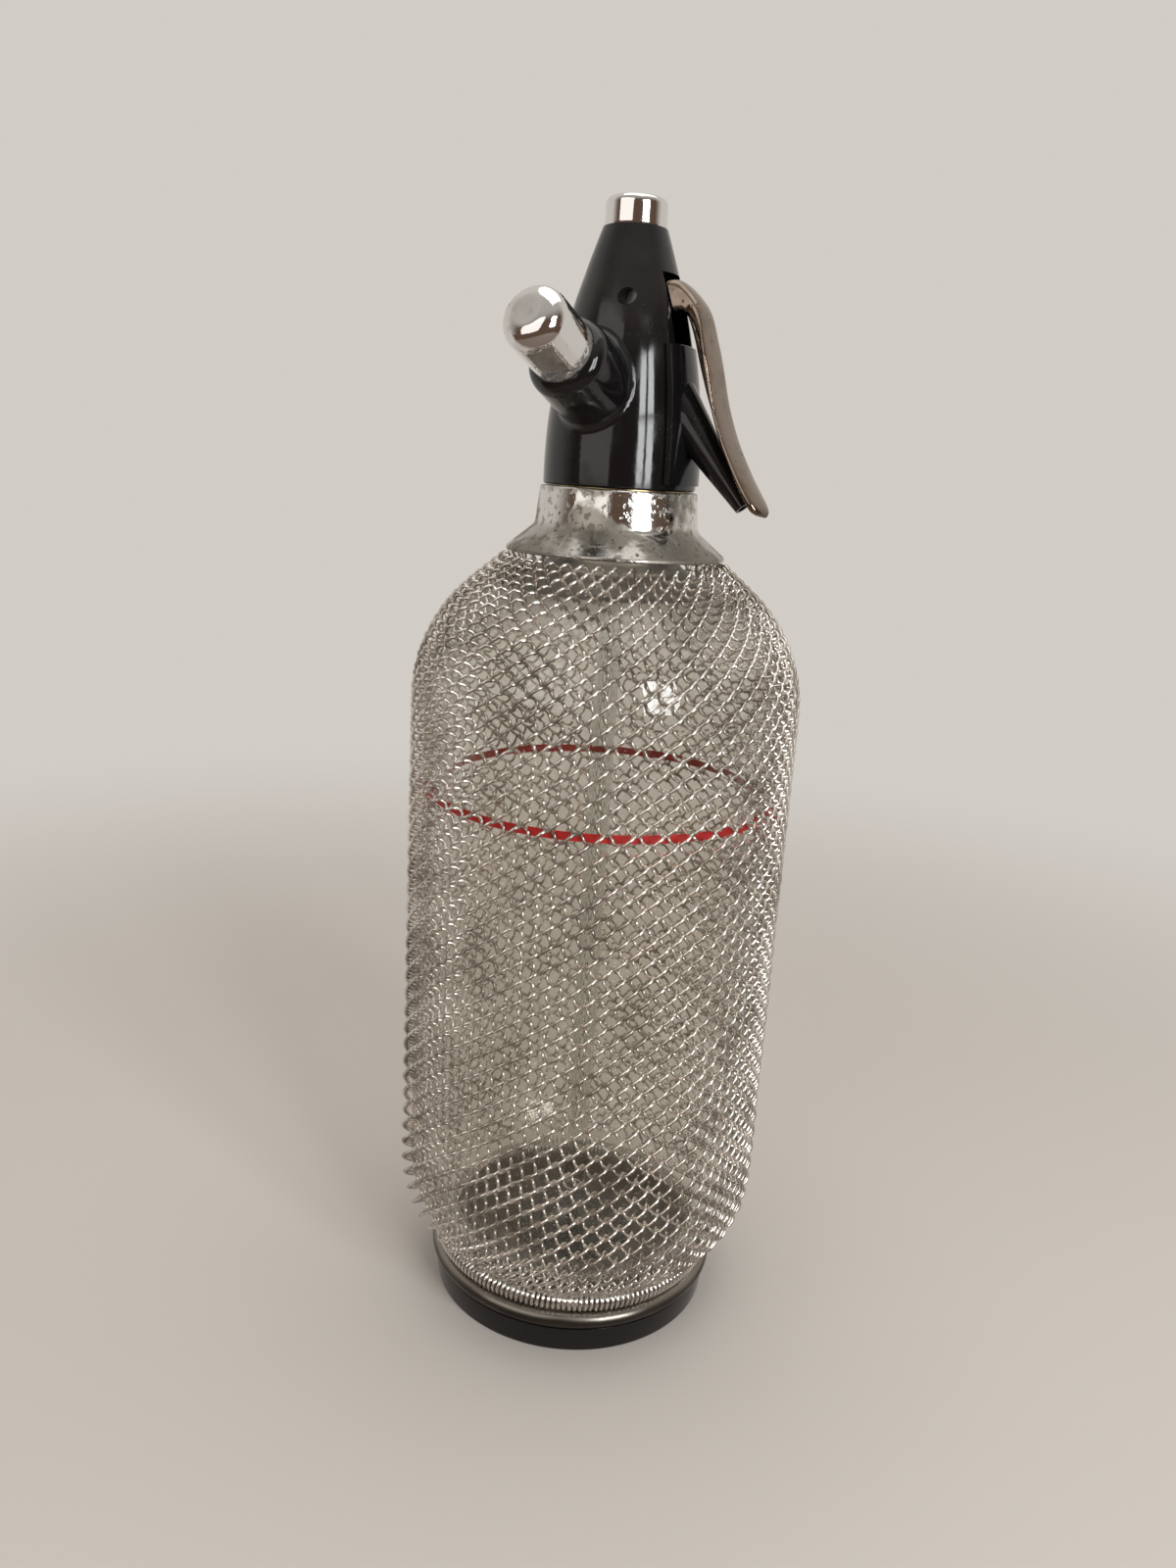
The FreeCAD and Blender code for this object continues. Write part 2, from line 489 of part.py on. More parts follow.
def tilt_body(part):
    """Lays a body that was drawn upright along the axis of the charging boss."""
    upright = Rotation(Vector(1, 0, 0), 90 - number("boss_tilt"))
    part.Placement = Placement(Vector(0, 0, number("boss_level")), upright)
    part.setExpression("Placement.Base.z", bound("boss_level"))
    part.setExpression("Placement.Rotation.Angle", bound("90 - boss_tilt"))


def new_sketch(part, name, role, shift=None, turn=None):
    """A sketch on one of the body's planes, moved and turned within that plane."""
    sketch = part.newObject("Sketcher::SketchObject", name)
    sketch.AttachmentSupport = [(origin_plane(part, role), "")]
    sketch.MapMode = "FlatFace"
    across, up, out = shift or ("0", "0", "0")
    angle = number(turn) if turn else 0.0
    base = Vector(number(across), number(up), number(out))
    sketch.AttachmentOffset = Placement(base, Rotation(Vector(0, 0, 1), angle))
    if shift:
        sketch.setExpression("AttachmentOffset.Base.x", bound(across))
        sketch.setExpression("AttachmentOffset.Base.y", bound(up))
        sketch.setExpression("AttachmentOffset.Base.z", bound(out))
    if turn:
        sketch.setExpression("AttachmentOffset.Rotation.Angle", bound(turn))
    return sketch


def hold(sketch, item, end, expression, kind, axis):
    """Holds one end of a line at a distance from an axis of the sketch."""
    value = number(expression)
    if abs(value) < 1e-7:
        sketch.addConstraint(Sketcher.Constraint("PointOnObject", item, end, axis))
    elif value > 0:
        index = sketch.addConstraint(Sketcher.Constraint(kind, -1, 1, item, end, value))
        sketch.setExpression("Constraints[%d]" % index, bound(expression))
    else:
        index = sketch.addConstraint(Sketcher.Constraint(kind, item, end, -1, 1, -value))
        sketch.setExpression("Constraints[%d]" % index, bound("-(%s)" % expression))


def arc_between(start, stop, radius, side):
    """The short arc between two places, its centre left (1) or right (-1) of the way."""
    chord = stop - start
    rise = math.sqrt(max(radius ** 2 - chord.Length ** 2 / 4, 0.0))
    left = Vector(-chord.y, chord.x, 0).normalize()
    centre = (start + stop) * 0.5 + left * (side * rise)
    first = math.atan2(start.y - centre.y, start.x - centre.x)
    last = math.atan2(stop.y - centre.y, stop.x - centre.x)
    circle = Part.Circle(centre, Vector(0, 0, 1), radius)
    if side > 0:
        return Part.ArcOfCircle(circle, first, last), (1, 2)
    return Part.ArcOfCircle(circle, last, first), (2, 1)


def outline(sketch, points):
    """A closed outline. A point with a radius and a side starts an arc to the next one."""
    spots = [Vector(number(point[0]), number(point[1]), 0) for point in points]
    ends = []
    for index, point in enumerate(points):
        start = spots[index]
        stop = spots[(index + 1) % len(points)]
        if len(point) == 2:
            sketch.addGeometry(Part.LineSegment(start, stop), False)
            ends.append((1, 2))
        else:
            arc, order = arc_between(start, stop, number(point[2]), point[3])
            sketch.addGeometry(arc, False)
            ends.append(order)
    for index, point in enumerate(points):
        after = (index + 1) % len(points)
        joint = Sketcher.Constraint("Coincident", index, ends[index][1], after, ends[after][0])
        sketch.addConstraint(joint)
        hold(sketch, index, ends[index][0], point[0], "DistanceX", -2)
        hold(sketch, index, ends[index][0], point[1], "DistanceY", -1)
        if len(point) == 4:
            round_off = Sketcher.Constraint("Radius", index, number(point[2]))
            held = sketch.addConstraint(round_off)
            sketch.setExpression("Constraints[%d]" % held, bound(point[2]))


def turned(part, name, points, cut=False, role="XZ_Plane", shift=None, turn=None):
    """Adds or cuts a turned shape; points are (radius, height) along the turning axis."""
    sketch = new_sketch(part, name + "_outline", role, shift, turn)
    outline(sketch, points)
    kind = "PartDesign::Groove" if cut else "PartDesign::Revolution"
    feature = part.newObject(kind, name)
    feature.Profile = sketch
    feature.ReferenceAxis = (sketch, ["V_Axis"])
    feature.Angle = 360
    sketch.Visibility = False
    return feature


def extruded(part, name, points, width, cut=False, role="XZ_Plane", shift=None, turn=None):
    """Adds or cuts a flat outline, half of its width to each side of the sketch's plane."""
    sketch = new_sketch(part, name + "_outline", role, shift, turn)
    outline(sketch, points)
    feature = part.newObject("PartDesign::Pocket" if cut else "PartDesign::Pad", name)
    feature.Profile = sketch
    feature.SideType = "Symmetric"
    feature.Length = number(width)
    feature.setExpression("Length", bound(width))
    sketch.Visibility = False
    return feature


def rectangle(low_x, low_y, high_x, high_y):
    """The four corners of a rectangle."""
    return [(low_x, low_y), (high_x, low_y), (high_x, high_y), (low_x, high_y)]


def rod(radius, low, high):
    """Half outline of a plain round rod."""
    return rectangle("0", low, radius, high)


def ring(bore, radius, low, high):
    """Half outline of a plain ring."""
    return rectangle(bore, low, radius, high)


def head_side(gap):
    """The head's side beside and under the lever slot, moved outwards by a gap."""
    return [
        ("head_bottom_radius + " + gap, "head_bottom + head_edge", "head_waist_curve + " + gap, 1),
        ("head_waist_radius + " + gap, "head_waist_level", "head_shoulder_curve + " + gap, 1),
        ("head_shoulder_radius + " + gap, "head_shoulder_level"),
    ]


def from_pin(spot):
    """A place of the lever's outlines."""
    return ("pin_offset + " + spot + "_reach", "pin_level + " + spot + "_rise")


def boss_root_edges(shape):
    """The edges where the round side of the charging boss runs into the head."""
    tilt = math.radians(number("boss_tilt"))
    along = Vector(0, -math.cos(tilt), math.sin(tilt))
    start = Vector(0, 0, number("boss_level"))
    names = []
    for index, edge in enumerate(shape.Edges, start=1):
        spots = [spot - start for spot in edge.discretize(7)]
        reach = max(spot.dot(along) for spot in spots)
        gaps = [abs((spot - along * spot.dot(along)).Length - number("boss_radius"))
                for spot in spots]
        if max(gaps) < 0.01 and reach < number("boss_length - boss_lip") - 0.1:
            if edge.Curve.TypeId != "Part::GeomLine":
                names.append("Edge%d" % index)
    return names


# ---------------------------------------------------------------- bottle group

foot = body("foot")
turned(foot, "foot_disc", [
    ("0", "foot_recess_depth"),
    ("foot_recess_radius", "foot_recess_depth"),
    ("foot_recess_radius + foot_inner_chamfer", "0"),
    ("foot_bottom_radius - foot_edge", "0"),
    ("foot_bottom_radius", "foot_edge"),
    ("foot_side_radius", "foot_height - foot_edge"),
    ("foot_side_radius - foot_edge", "foot_height"),
    ("pedestal_radius", "foot_height"),
    ("pedestal_radius - foot_edge", "glass_bottom"),
    ("0", "glass_bottom"),
])

base_ring = body("base_ring")
turned(base_ring, "base_ring_turning", [
    ("ring_bore_radius", "foot_height"),
    ("ring_foot_radius", "foot_height"),
    ("ring_radius", "foot_height + ring_belly", "ring_height", 1),
    ("ring_radius", "ring_top - foot_edge"),
    ("ring_radius - foot_edge", "ring_top"),
    ("ring_bore_radius", "ring_top"),
])

garter_spring = body("garter_spring")
garter_outline = new_sketch(garter_spring, "garter_outline", "XZ_Plane")
garter_centre = Vector(number("garter_radius"), number("garter_level"), 0)
garter_circle = Part.Circle(garter_centre, Vector(0, 0, 1), number("garter_coil_radius"))
garter_outline.addGeometry(garter_circle, False)
hold(garter_outline, 0, 3, "garter_radius", "DistanceX", -2)
hold(garter_outline, 0, 3, "garter_level", "DistanceY", -1)
garter_size = Sketcher.Constraint("Radius", 0, number("garter_coil_radius"))
garter_held = garter_outline.addConstraint(garter_size)
garter_outline.setExpression("Constraints[%d]" % garter_held, bound("garter_coil_radius"))
garter_turning = garter_spring.newObject("PartDesign::Revolution", "garter_turning")
garter_turning.Profile = garter_outline
garter_turning.ReferenceAxis = (garter_outline, ["V_Axis"])
garter_turning.Angle = 360
garter_outline.Visibility = False

glass_bottle = body("glass_bottle")
turned(glass_bottle, "glass_turning", [
    ("0", "glass_bottom + glass_punt_depth"),
    ("glass_punt_radius", "glass_bottom"),
    ("corner_centre", "glass_bottom", "glass_corner", 1),
    ("glass_radius", "corner_level"),
    ("glass_radius", "shoulder_level", "shoulder_radius", 1),
    ("shoulder_end", "shoulder_level + shoulder_rise"),
    ("neck_root_radius", "neck_root_level"),
    ("neck_radius", "neck_start"),
    ("neck_radius", "bead_level"),
    ("bead_radius - bead_edge", "bead_level"),
    ("bead_radius", "bead_level + bead_edge"),
    ("bead_radius", "glass_top - bead_edge"),
    ("bead_radius - bead_edge", "glass_top"),
    ("neck_bore_radius", "glass_top"),
    ("neck_bore_radius", "neck_start - glass_wall"),
    ("neck_root_radius - glass_wall", "neck_root_level - glass_wall"),
    ("shoulder_centre + (shoulder_end - shoulder_centre) * inner_share",
     "shoulder_level + shoulder_rise * inner_share", "shoulder_radius - glass_wall", -1),
    ("glass_radius - glass_wall", "shoulder_level"),
    ("glass_radius - glass_wall", "corner_level", "glass_corner - glass_wall", -1),
    ("corner_centre", "glass_bottom + glass_wall"),
    ("glass_punt_radius", "glass_bottom + glass_wall"),
    ("0", "glass_bottom + glass_wall + glass_punt_depth"),
])

# The sleeve's hollows are one slot, run up the whole side and repeated round the axis.
mesh_sleeve = body("mesh_sleeve")
turned(mesh_sleeve, "mesh_turning", [
    ("corner_centre + sqrt(mesh_lower_bore ^ 2 - (corner_level - garter_top) ^ 2)", "garter_top"),
    ("mesh_mouth_radius", "garter_top"),
    ("mesh_heel_radius", "mesh_heel_level", "mesh_corner", 1),
    ("mesh_radius", "mesh_wall_start"),
    ("mesh_radius", "mesh_wall_end", "mesh_shoulder", 1),
    ("mesh_slope_radius", "mesh_slope_level"),
    ("mesh_end_radius", "mesh_end_level"),
    ("mesh_lip_radius", "mesh_lip_level"),
    ("shoulder_end + mesh_gap", "shoulder_level + mesh_gap + shoulder_rise",
     "shoulder_radius + mesh_gap", -1),
    ("glass_radius + mesh_gap", "shoulder_level"),
    ("glass_radius + mesh_gap", "corner_level", "mesh_lower_bore", -1),
])
mesh_slot = extruded(mesh_sleeve, "mesh_slot", [
    ("mesh_heel_radius - coil_hollow", "mesh_heel_level", "mesh_corner", 1),
    ("mesh_radius - coil_hollow", "mesh_wall_start"),
    ("mesh_radius - coil_hollow", "mesh_wall_end", "mesh_shoulder", 1),
    ("mesh_slope_radius - coil_hollow", "mesh_slope_level"),
    ("mesh_radius", "mesh_slope_level"),
    ("mesh_radius + coil_hollow", "mesh_wall_end"),
    ("mesh_radius + coil_hollow", "mesh_heel_level"),
], "coil_gap", cut=True)
mesh_columns = mesh_sleeve.newObject("PartDesign::PolarPattern", "mesh_columns")
mesh_columns.Originals = [mesh_slot]
mesh_columns.Axis = (mesh_slot.Profile[0], ["V_Axis"])
mesh_columns.Angle = 360
mesh_columns.setExpression("Occurrences", bound("coil_count"))
mesh_sleeve.Tip = mesh_columns

neck_collar = body("neck_collar")
turned(neck_collar, "collar_turning", [
    ("collar_lip_radius", "collar_lip_bottom"),
    ("collar_bore_radius + flare_edge", "collar_lip_bottom"),
    ("flare_hollow_radius", "collar_bottom"),
    ("flare_radius", "collar_bottom"),
    ("flare_radius", "collar_bottom + flare_edge"),
    ("collar_waist_radius", "collar_waist_level"),
    ("collar_top_radius", "collar_top - collar_edge"),
    ("collar_top_radius - collar_edge", "collar_top"),
    ("collar_bore_radius", "collar_top"),
    ("collar_bore_radius", "collar_lip_top"),
    ("collar_lip_radius", "collar_lip_top"),
])

clamp_ring = body("clamp_ring")
turned(clamp_ring, "clamp_turning",
       ring("clamp_bore_radius", "clamp_radius", "collar_lip_top", "bead_level"))

neck_seal = body("neck_seal")
turned(neck_seal, "neck_seal_turning",
       ring("neck_seal_bore", "neck_seal_radius", "glass_top", "neck_seal_top"))

# ------------------------------------------------------------------ head group

head_ferrule = body("head_ferrule")
turned(head_ferrule, "ferrule_turning", [
    ("web_hole_radius", "ferrule_web_bottom"),
    ("ferrule_cavity_radius", "ferrule_web_bottom"),
    ("ferrule_cavity_radius", "neck_seal_top"),
    ("ferrule_radius", "neck_seal_top"),
    ("ferrule_radius", "ferrule_top"),
    ("web_hole_radius", "ferrule_top"),
])
turned(head_ferrule, "ferrule_gas_hole",
       rod("gas_radius", "ferrule_web_bottom - 1", "ferrule_top + 1"),
       cut=True, role="YZ_Plane", shift=("-gas_offset", "0", "0"))

head_body = body("head_body")
turned(head_body, "head_turning", [
    ("0", "head_bottom"),
    ("head_bottom_radius - head_edge", "head_bottom"),
    ("head_bottom_radius", "head_bottom + head_edge", "head_waist_curve", 1),
    ("head_waist_radius", "head_waist_level", "head_shoulder_curve", 1),
    ("head_shoulder_radius", "head_shoulder_level", "head_mid_curve", 1),
    ("head_mid_radius", "head_mid_level", "head_top_curve", 1),
    ("head_top_radius", "head_top"),
    ("head_spigot_radius", "head_top"),
    ("head_spigot_radius", "head_spigot_top"),
    ("0", "head_spigot_top"),
])
boss = turned(head_body, "charging_boss", [
    ("0", "0"),
    ("boss_radius", "0"),
    ("boss_radius", "boss_length - boss_lip", "boss_lip", 1),
    ("boss_end_radius", "boss_length"),
    ("0", "boss_length"),
], role="YZ_Plane", shift=("0", "boss_level", "0"), turn="90 - boss_tilt")
doc.recompute()
boss_blend = head_body.newObject("PartDesign::Fillet", "boss_blend")
boss_blend.Base = (boss, boss_root_edges(boss.Shape))
boss_blend.Radius = number("boss_blend_radius")
boss_blend.setExpression("Radius", bound("boss_blend_radius"))
turned(head_body, "head_cavity", [
    ("0", "head_bottom - 20"),
    ("head_cavity_radius", "head_bottom - 20"),
    ("head_cavity_radius", "head_cavity_top"),
    ("valve_cavity_radius", "head_cavity_top"),
    ("valve_cavity_radius", "valve_cavity_top"),
    ("stem_hole_radius", "valve_cavity_top"),
    ("stem_hole_radius", "slot_bottom"),
    ("lever_cavity_radius", "slot_bottom"),
    ("lever_cavity_radius", "slot_top"),
    ("spring_cavity_radius", "slot_top"),
    ("spring_cavity_radius", "head_spigot_top + 1"),
    ("0", "head_spigot_top + 1"),
], cut=True)
turned(head_body, "boss_bore", [
    ("0", "boss_gas_start"),
    ("gas_radius", "boss_gas_start"),
    ("gas_radius", "boss_bore_floor"),
    ("boss_bore_radius", "boss_bore_floor"),
    ("boss_bore_radius", "boss_length + 1"),
    ("0", "boss_length + 1"),
], cut=True, role="YZ_Plane", shift=("0", "boss_level", "0"), turn="90 - boss_tilt")
turned(head_body, "head_gas_hole", rod("gas_radius", "head_cavity_top - 1", "boss_level + boss_gas_rise"),
       cut=True, role="YZ_Plane", shift=("-gas_offset", "0", "0"))
turned(head_body, "nozzle_socket", [
    ("0", "valve_cavity_radius - 1"),
    ("spigot_hole_radius", "valve_cavity_radius - 1"),
    ("spigot_hole_radius", "socket_floor"),
    ("socket_radius", "socket_floor"),
    ("socket_radius", "head_bottom_radius + 2"),
    ("0", "head_bottom_radius + 2"),
], cut=True, shift=("0", "outlet_level", "0"), turn="-90")
extruded(head_body, "lever_slot",
         rectangle("0", "slot_bottom", "head_bottom_radius + 5", "slot_top"),
         "slot_width", cut=True)
turned(head_body, "pin_hole", rod("pin_hole_radius", "-head_bottom_radius", "head_bottom_radius"),
       cut=True, role="XY_Plane", shift=("pin_offset", "0", "pin_level"))

nozzle = body("nozzle")
turned(nozzle, "spout_cone", [
    ("0", "0"),
    ("tip_radius", "0"),
    ("spout_root_radius", "spout_length"),
    ("0", "spout_length"),
], shift=("tip_across", "tip_level", "0"), turn="90 - spout_slope")
turned(nozzle, "head_clearance",
       [("0", "head_bottom + head_edge")] + head_side("shield_gap")
       + [("0", "head_shoulder_level")], cut=True)
shield = turned(nozzle, "nozzle_shield", head_side("(shield_gap + shield_wall)") + [
    ("head_shoulder_radius + shield_gap", "head_shoulder_level",
     "head_shoulder_curve + shield_gap", -1),
    ("head_waist_radius + shield_gap", "head_waist_level", "head_waist_curve + shield_gap", -1),
    ("head_bottom_radius + shield_gap", "head_bottom + head_edge"),
])
shield.Midplane = True
shield.setExpression("Angle", bound("shield_angle"))
for name, low, high in (("shield_lower_edge", "head_bottom", "shield_bottom"),
                        ("shield_upper_edge", "shield_top", "head_shoulder_level + 1")):
    extruded(nozzle, name, rectangle("0", low, "head_bottom_radius + 2", high),
             "3 * head_bottom_radius", cut=True)
turned(nozzle, "nozzle_spigot", [
    ("0", "spigot_start"),
    ("spigot_radius", "spigot_start"),
    ("spigot_radius", "socket_floor"),
    ("nozzle_root_radius", "socket_floor"),
    ("nozzle_root_radius", "head_bottom_radius + shield_wall"),
    ("0", "head_bottom_radius + shield_wall"),
], shift=("0", "outlet_level", "0"), turn="-90")
turned(nozzle, "spout_bore_hole", rod("spout_bore", "-1", "spout_bore_length"),
       cut=True, shift=("tip_across", "tip_level", "0"), turn="90 - spout_slope")
turned(nozzle, "spigot_bore_hole", rod("outlet_radius", "spigot_start - 1", "head_bottom_radius"),
       cut=True, shift=("0", "outlet_level", "0"), turn="-90")

valve_body = body("valve_body")
turned(valve_body, "valve_body_turning", [
    ("dip_socket_radius", "body_neck_bottom"),
    ("body_neck_radius", "body_neck_bottom"),
    ("body_neck_radius", "ferrule_top"),
    ("body_radius", "ferrule_top"),
    ("body_radius", "body_top"),
    ("gland_bore_radius", "body_top"),
    ("gland_bore_radius", "chamber_ledge"),
    ("chamber_radius", "chamber_ledge"),
    ("chamber_radius", "chamber_floor"),
    ("body_throat_radius", "chamber_floor"),
    ("body_throat_radius", "ferrule_web_bottom"),
    ("dip_socket_radius", "ferrule_web_bottom"),
])
turned(valve_body, "outlet_hole", rod("outlet_radius", "chamber_radius - 1", "body_radius + 1"),
       cut=True, shift=("0", "outlet_level", "0"), turn="-90")

valve_seat = body("valve_seat")
turned(valve_seat, "seat_turning",
       ring("body_throat_radius", "seat_radius", "chamber_floor", "seat_top"))

valve_washer = body("valve_washer")
turned(valve_washer, "washer_turning",
       ring("washer_bore", "washer_radius", "washer_bottom", "washer_top"))

valve_stem = body("valve_stem")
turned(valve_stem, "stem_turning", [
    ("0", "washer_bottom - rivet_height"),
    ("rivet_radius", "washer_bottom - rivet_height"),
    ("rivet_radius", "washer_bottom"),
    ("stem_tip_radius", "washer_bottom"),
    ("stem_tip_radius", "washer_top"),
    ("stem_flange_radius", "washer_top"),
    ("stem_flange_radius", "washer_top + stem_flange_height"),
    ("stem_radius", "washer_top + stem_flange_height"),
    ("stem_radius", "stem_top"),
    ("0", "stem_top"),
])

stem_seal = body("stem_seal")
turned(stem_seal, "stem_seal_turning",
       ring("stem_bore", "seal_radius", "chamber_ledge", "gland_bottom"))

gland_nut = body("gland_nut")
turned(gland_nut, "gland_turning",
       ring("stem_bore", "gland_radius", "gland_bottom", "body_top"))

stem_nut = body("stem_nut")
turned(stem_nut, "stem_nut_turning",
       ring("nut_bore", "nut_radius", "nut_bottom", "nut_top"))

top_cap = body("top_cap")
turned(top_cap, "top_cap_turning", [
    ("top_cap_bore", "head_top"),
    ("top_cap_radius", "head_top"),
    ("top_cap_radius", "top_cap_top - top_cap_edge", "top_cap_edge", 1),
    ("top_cap_radius - top_cap_edge", "top_cap_top"),
    ("0", "top_cap_top"),
    ("0", "top_cap_ceiling"),
    ("top_cap_bore", "top_cap_ceiling"),
])

# ----------------------------------------------------------------------- lever

lever = body("lever")
extruded(lever, "lever_blade", [
    from_pin("root_top"),
    from_pin("bend_start") + ("bend_radius", -1),
    from_pin("bend_end"),
    from_pin("back_upper") + ("back_curve", 1),
    from_pin("back_middle") + ("tip_curve", 1),
    from_pin("back_lower"),
    from_pin("tip_outer") + ("tip_edge", -1),
    from_pin("tip_inner"),
    from_pin("palm_lower") + ("palm_curve", -1),
    from_pin("palm_middle") + ("palm_curve", -1),
    from_pin("palm_upper"),
    from_pin("bow_end") + ("bow_radius", 1),
    from_pin("bow_start"),
    from_pin("root_bottom"),
], "blade_width")
extruded(lever, "blade_shoulders", [
    ("pin_offset", "slot_bottom"),
    from_pin("shoulder_low"),
    from_pin("shoulder_middle"),
    from_pin("shoulder_high"),
    ("pin_offset", "slot_top"),
], "5 * blade_width", cut=True)
extruded(lever, "lever_arm", [
    ("pin_offset", "pin_level - hub_radius"),
    from_pin("arm_underside"),
    from_pin("arm_rise"),
    from_pin("arm_under_bend"),
    from_pin("arm_at_bend"),
    from_pin("arm_back"),
    from_pin("arm_top"),
    ("pin_offset", "pin_level + hub_radius"),
], "arm_width")
turned(lever, "lever_hub", rod("hub_radius", "-arm_width / 2", "arm_width / 2"),
       role="XY_Plane", shift=("pin_offset", "0", "pin_level"))
extruded(lever, "lever_prongs",
         rectangle("-fork_reach", "fork_bottom", "pin_offset", "fork_top"), "arm_width")
turned(lever, "prong_nose", rod("nose_radius", "-arm_width / 2", "arm_width / 2"),
       role="XY_Plane", shift=("0", "0", "nose_level"))
extruded(lever, "fork_slot",
         rectangle("-2 * fork_reach", "fork_bottom - fork_gap", "fork_gap / 2 + stem_play",
                   "fork_top + fork_gap"),
         "fork_gap", cut=True)
extruded(lever, "nut_notch",
         rectangle("nose_radius", "pin_level + notch_rise", "notch_end", "nut_top"),
         "2 * arm_width", cut=True)
extruded(lever, "lever_rib", [
    from_pin("rib_root"),
    from_pin("rib_one"),
    from_pin("rib_two"),
    from_pin("rib_three"),
    from_pin("rib_four"),
    from_pin("rib_five"),
    from_pin("rib_end"),
    from_pin("rib_back_four"),
    from_pin("rib_back_three"),
    from_pin("rib_back_two"),
    from_pin("rib_back_one"),
], "rib_width")
turned(lever, "lever_pin_hole", rod("pin_hole_radius", "-head_bottom_radius", "head_bottom_radius"),
       cut=True, role="XY_Plane", shift=("pin_offset", "0", "pin_level"))

lever_pin = body("lever_pin")
turned(lever_pin, "lever_pin_turning", rod("pin_radius", "-pin_half_length", "pin_half_length"),
       role="XY_Plane", shift=("pin_offset", "0", "pin_level"))

# -------------------------------------------------------------------- dip tube

dip_tube = body("dip_tube")
turned(dip_tube, "dip_tube_turning",
       ring("dip_bore", "dip_radius", "dip_bottom", "ferrule_web_bottom"))

tube_nut = body("tube_nut")
turned(tube_nut, "tube_nut_turning",
       ring("web_hole_radius", "tube_nut_radius", "ferrule_web_bottom - tube_nut_height",
            "ferrule_web_bottom"))

# -------------------------------------------------------------- charging parts

nipple_seal = body("nipple_seal")
turned(nipple_seal, "nipple_seal_turning",
       ring("nipple_seal_bore", "nipple_seal_radius", "boss_bore_floor", "seal_end"))
tilt_body(nipple_seal)

charge_nipple = body("charge_nipple")
turned(charge_nipple, "nipple_turning", [
    ("nipple_cavity_radius", "seal_end"),
    ("nipple_radius", "seal_end"),
    ("nipple_radius", "nipple_end - nipple_chamfer"),
    ("nipple_radius - nipple_chamfer", "nipple_end"),
    ("nipple_mouth_radius", "nipple_end"),
    ("nipple_mouth_radius", "nipple_web_end"),
    ("pierce_hole_radius", "nipple_web_end"),
    ("pierce_hole_radius", "nipple_web_start"),
    ("nipple_cavity_radius", "nipple_web_start"),
])
tilt_body(charge_nipple)

pierce_pin = body("pierce_pin")
turned(pierce_pin, "pierce_turning", [
    ("pierce_bore_radius", "pierce_start"),
    ("pierce_shank_radius", "pierce_start"),
    ("pierce_shank_radius", "nipple_web_end"),
    ("pierce_flange_radius", "nipple_web_end"),
    ("pierce_flange_radius", "nipple_web_end + pierce_flange_height"),
    ("pierce_neck_radius", "nipple_web_end + pierce_flange_height"),
    ("pierce_bore_radius", "pierce_end"),
])
tilt_body(pierce_pin)

check_sleeve = body("check_sleeve")
turned(check_sleeve, "check_sleeve_turning",
       ring("pierce_hole_radius", "sleeve_radius", "sleeve_end - sleeve_length", "sleeve_end"))
tilt_body(check_sleeve)

charger_cap = body("charger_cap")
turned(charger_cap, "charger_cap_turning", [
    ("cap_bore_radius", "boss_length"),
    ("cap_radius", "boss_length"),
    ("cap_radius", "cap_end - cap_dome", "cap_dome", 1),
    ("cap_radius - cap_dome", "cap_end"),
    ("0", "cap_end"),
    ("0", "cap_bore_end"),
    ("cap_bore_radius", "cap_bore_end"),
])
for name, turn in (("grip_flat_lower", "cap_turn - 90"), ("grip_flat_upper", "cap_turn + 90")):
    extruded(charger_cap, name,
             rectangle("cap_flat_level", "-cap_flat_width / 2",
                       "cap_radius + 1", "cap_flat_width / 2"),
             "cap_flat_length", cut=True, role="XY_Plane",
             shift=("0", "0", "cap_flat_middle"), turn=turn)
tilt_body(charger_cap)

cap_gasket = body("cap_gasket")
turned(cap_gasket, "cap_gasket_turning",
       ring("gasket_bore", "gasket_radius", "nipple_end", "cap_bore_end"))
tilt_body(cap_gasket)

# ---------------------------------------------------------------- valve spring

spring_path = doc.addObject("Part::Helix", "spring_path")
spring_path.setExpression("Radius", bound("spring_radius"))
spring_path.setExpression("Pitch", bound("spring_pitch"))
spring_path.setExpression("Height", bound("top_cap_ceiling - nut_top - 2 * spring_wire"))
spring_path.setExpression("Placement.Base.z", bound("nut_top + spring_wire"))
spring_section = doc.addObject("Part::Circle", "spring_section")
spring_section.Placement = Placement(Vector(0, 0, 0), Rotation(Vector(1, 0, 0), 90))
spring_section.setExpression("Radius", bound("spring_wire"))
spring_section.setExpression("Placement.Base.x", bound("spring_radius"))
spring_section.setExpression("Placement.Base.z", bound("nut_top + spring_wire"))
valve_spring = doc.addObject("Part::Sweep", "valve_spring")
valve_spring.Label = "valve_spring"
valve_spring.Sections = [spring_section]
valve_spring.Spine = spring_path
valve_spring.Solid = True
valve_spring.Frenet = True
PARTS.append(valve_spring)

doc.recompute()

for item in doc.Objects:
    if "Invalid" in item.State or "Error" in item.State:
        raise RuntimeError("feature %s did not build" % item.Name)
for part in PARTS:
    if part.Shape.isNull() or not part.Shape.isValid():
        raise RuntimeError("sub-part %s has no sound shape" % part.Label)
    if len(part.Shape.Solids) != 1:
        raise RuntimeError("sub-part %s is not one solid" % part.Label)

os.makedirs("parts", exist_ok=True)
for part in PARTS:
    part.Shape.exportStep("parts/%s.step" % part.Label)
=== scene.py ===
import math

import bpy
import numpy as np
from bpy.props import FloatProperty, FloatVectorProperty, IntProperty, PointerProperty
from mathutils import Matrix


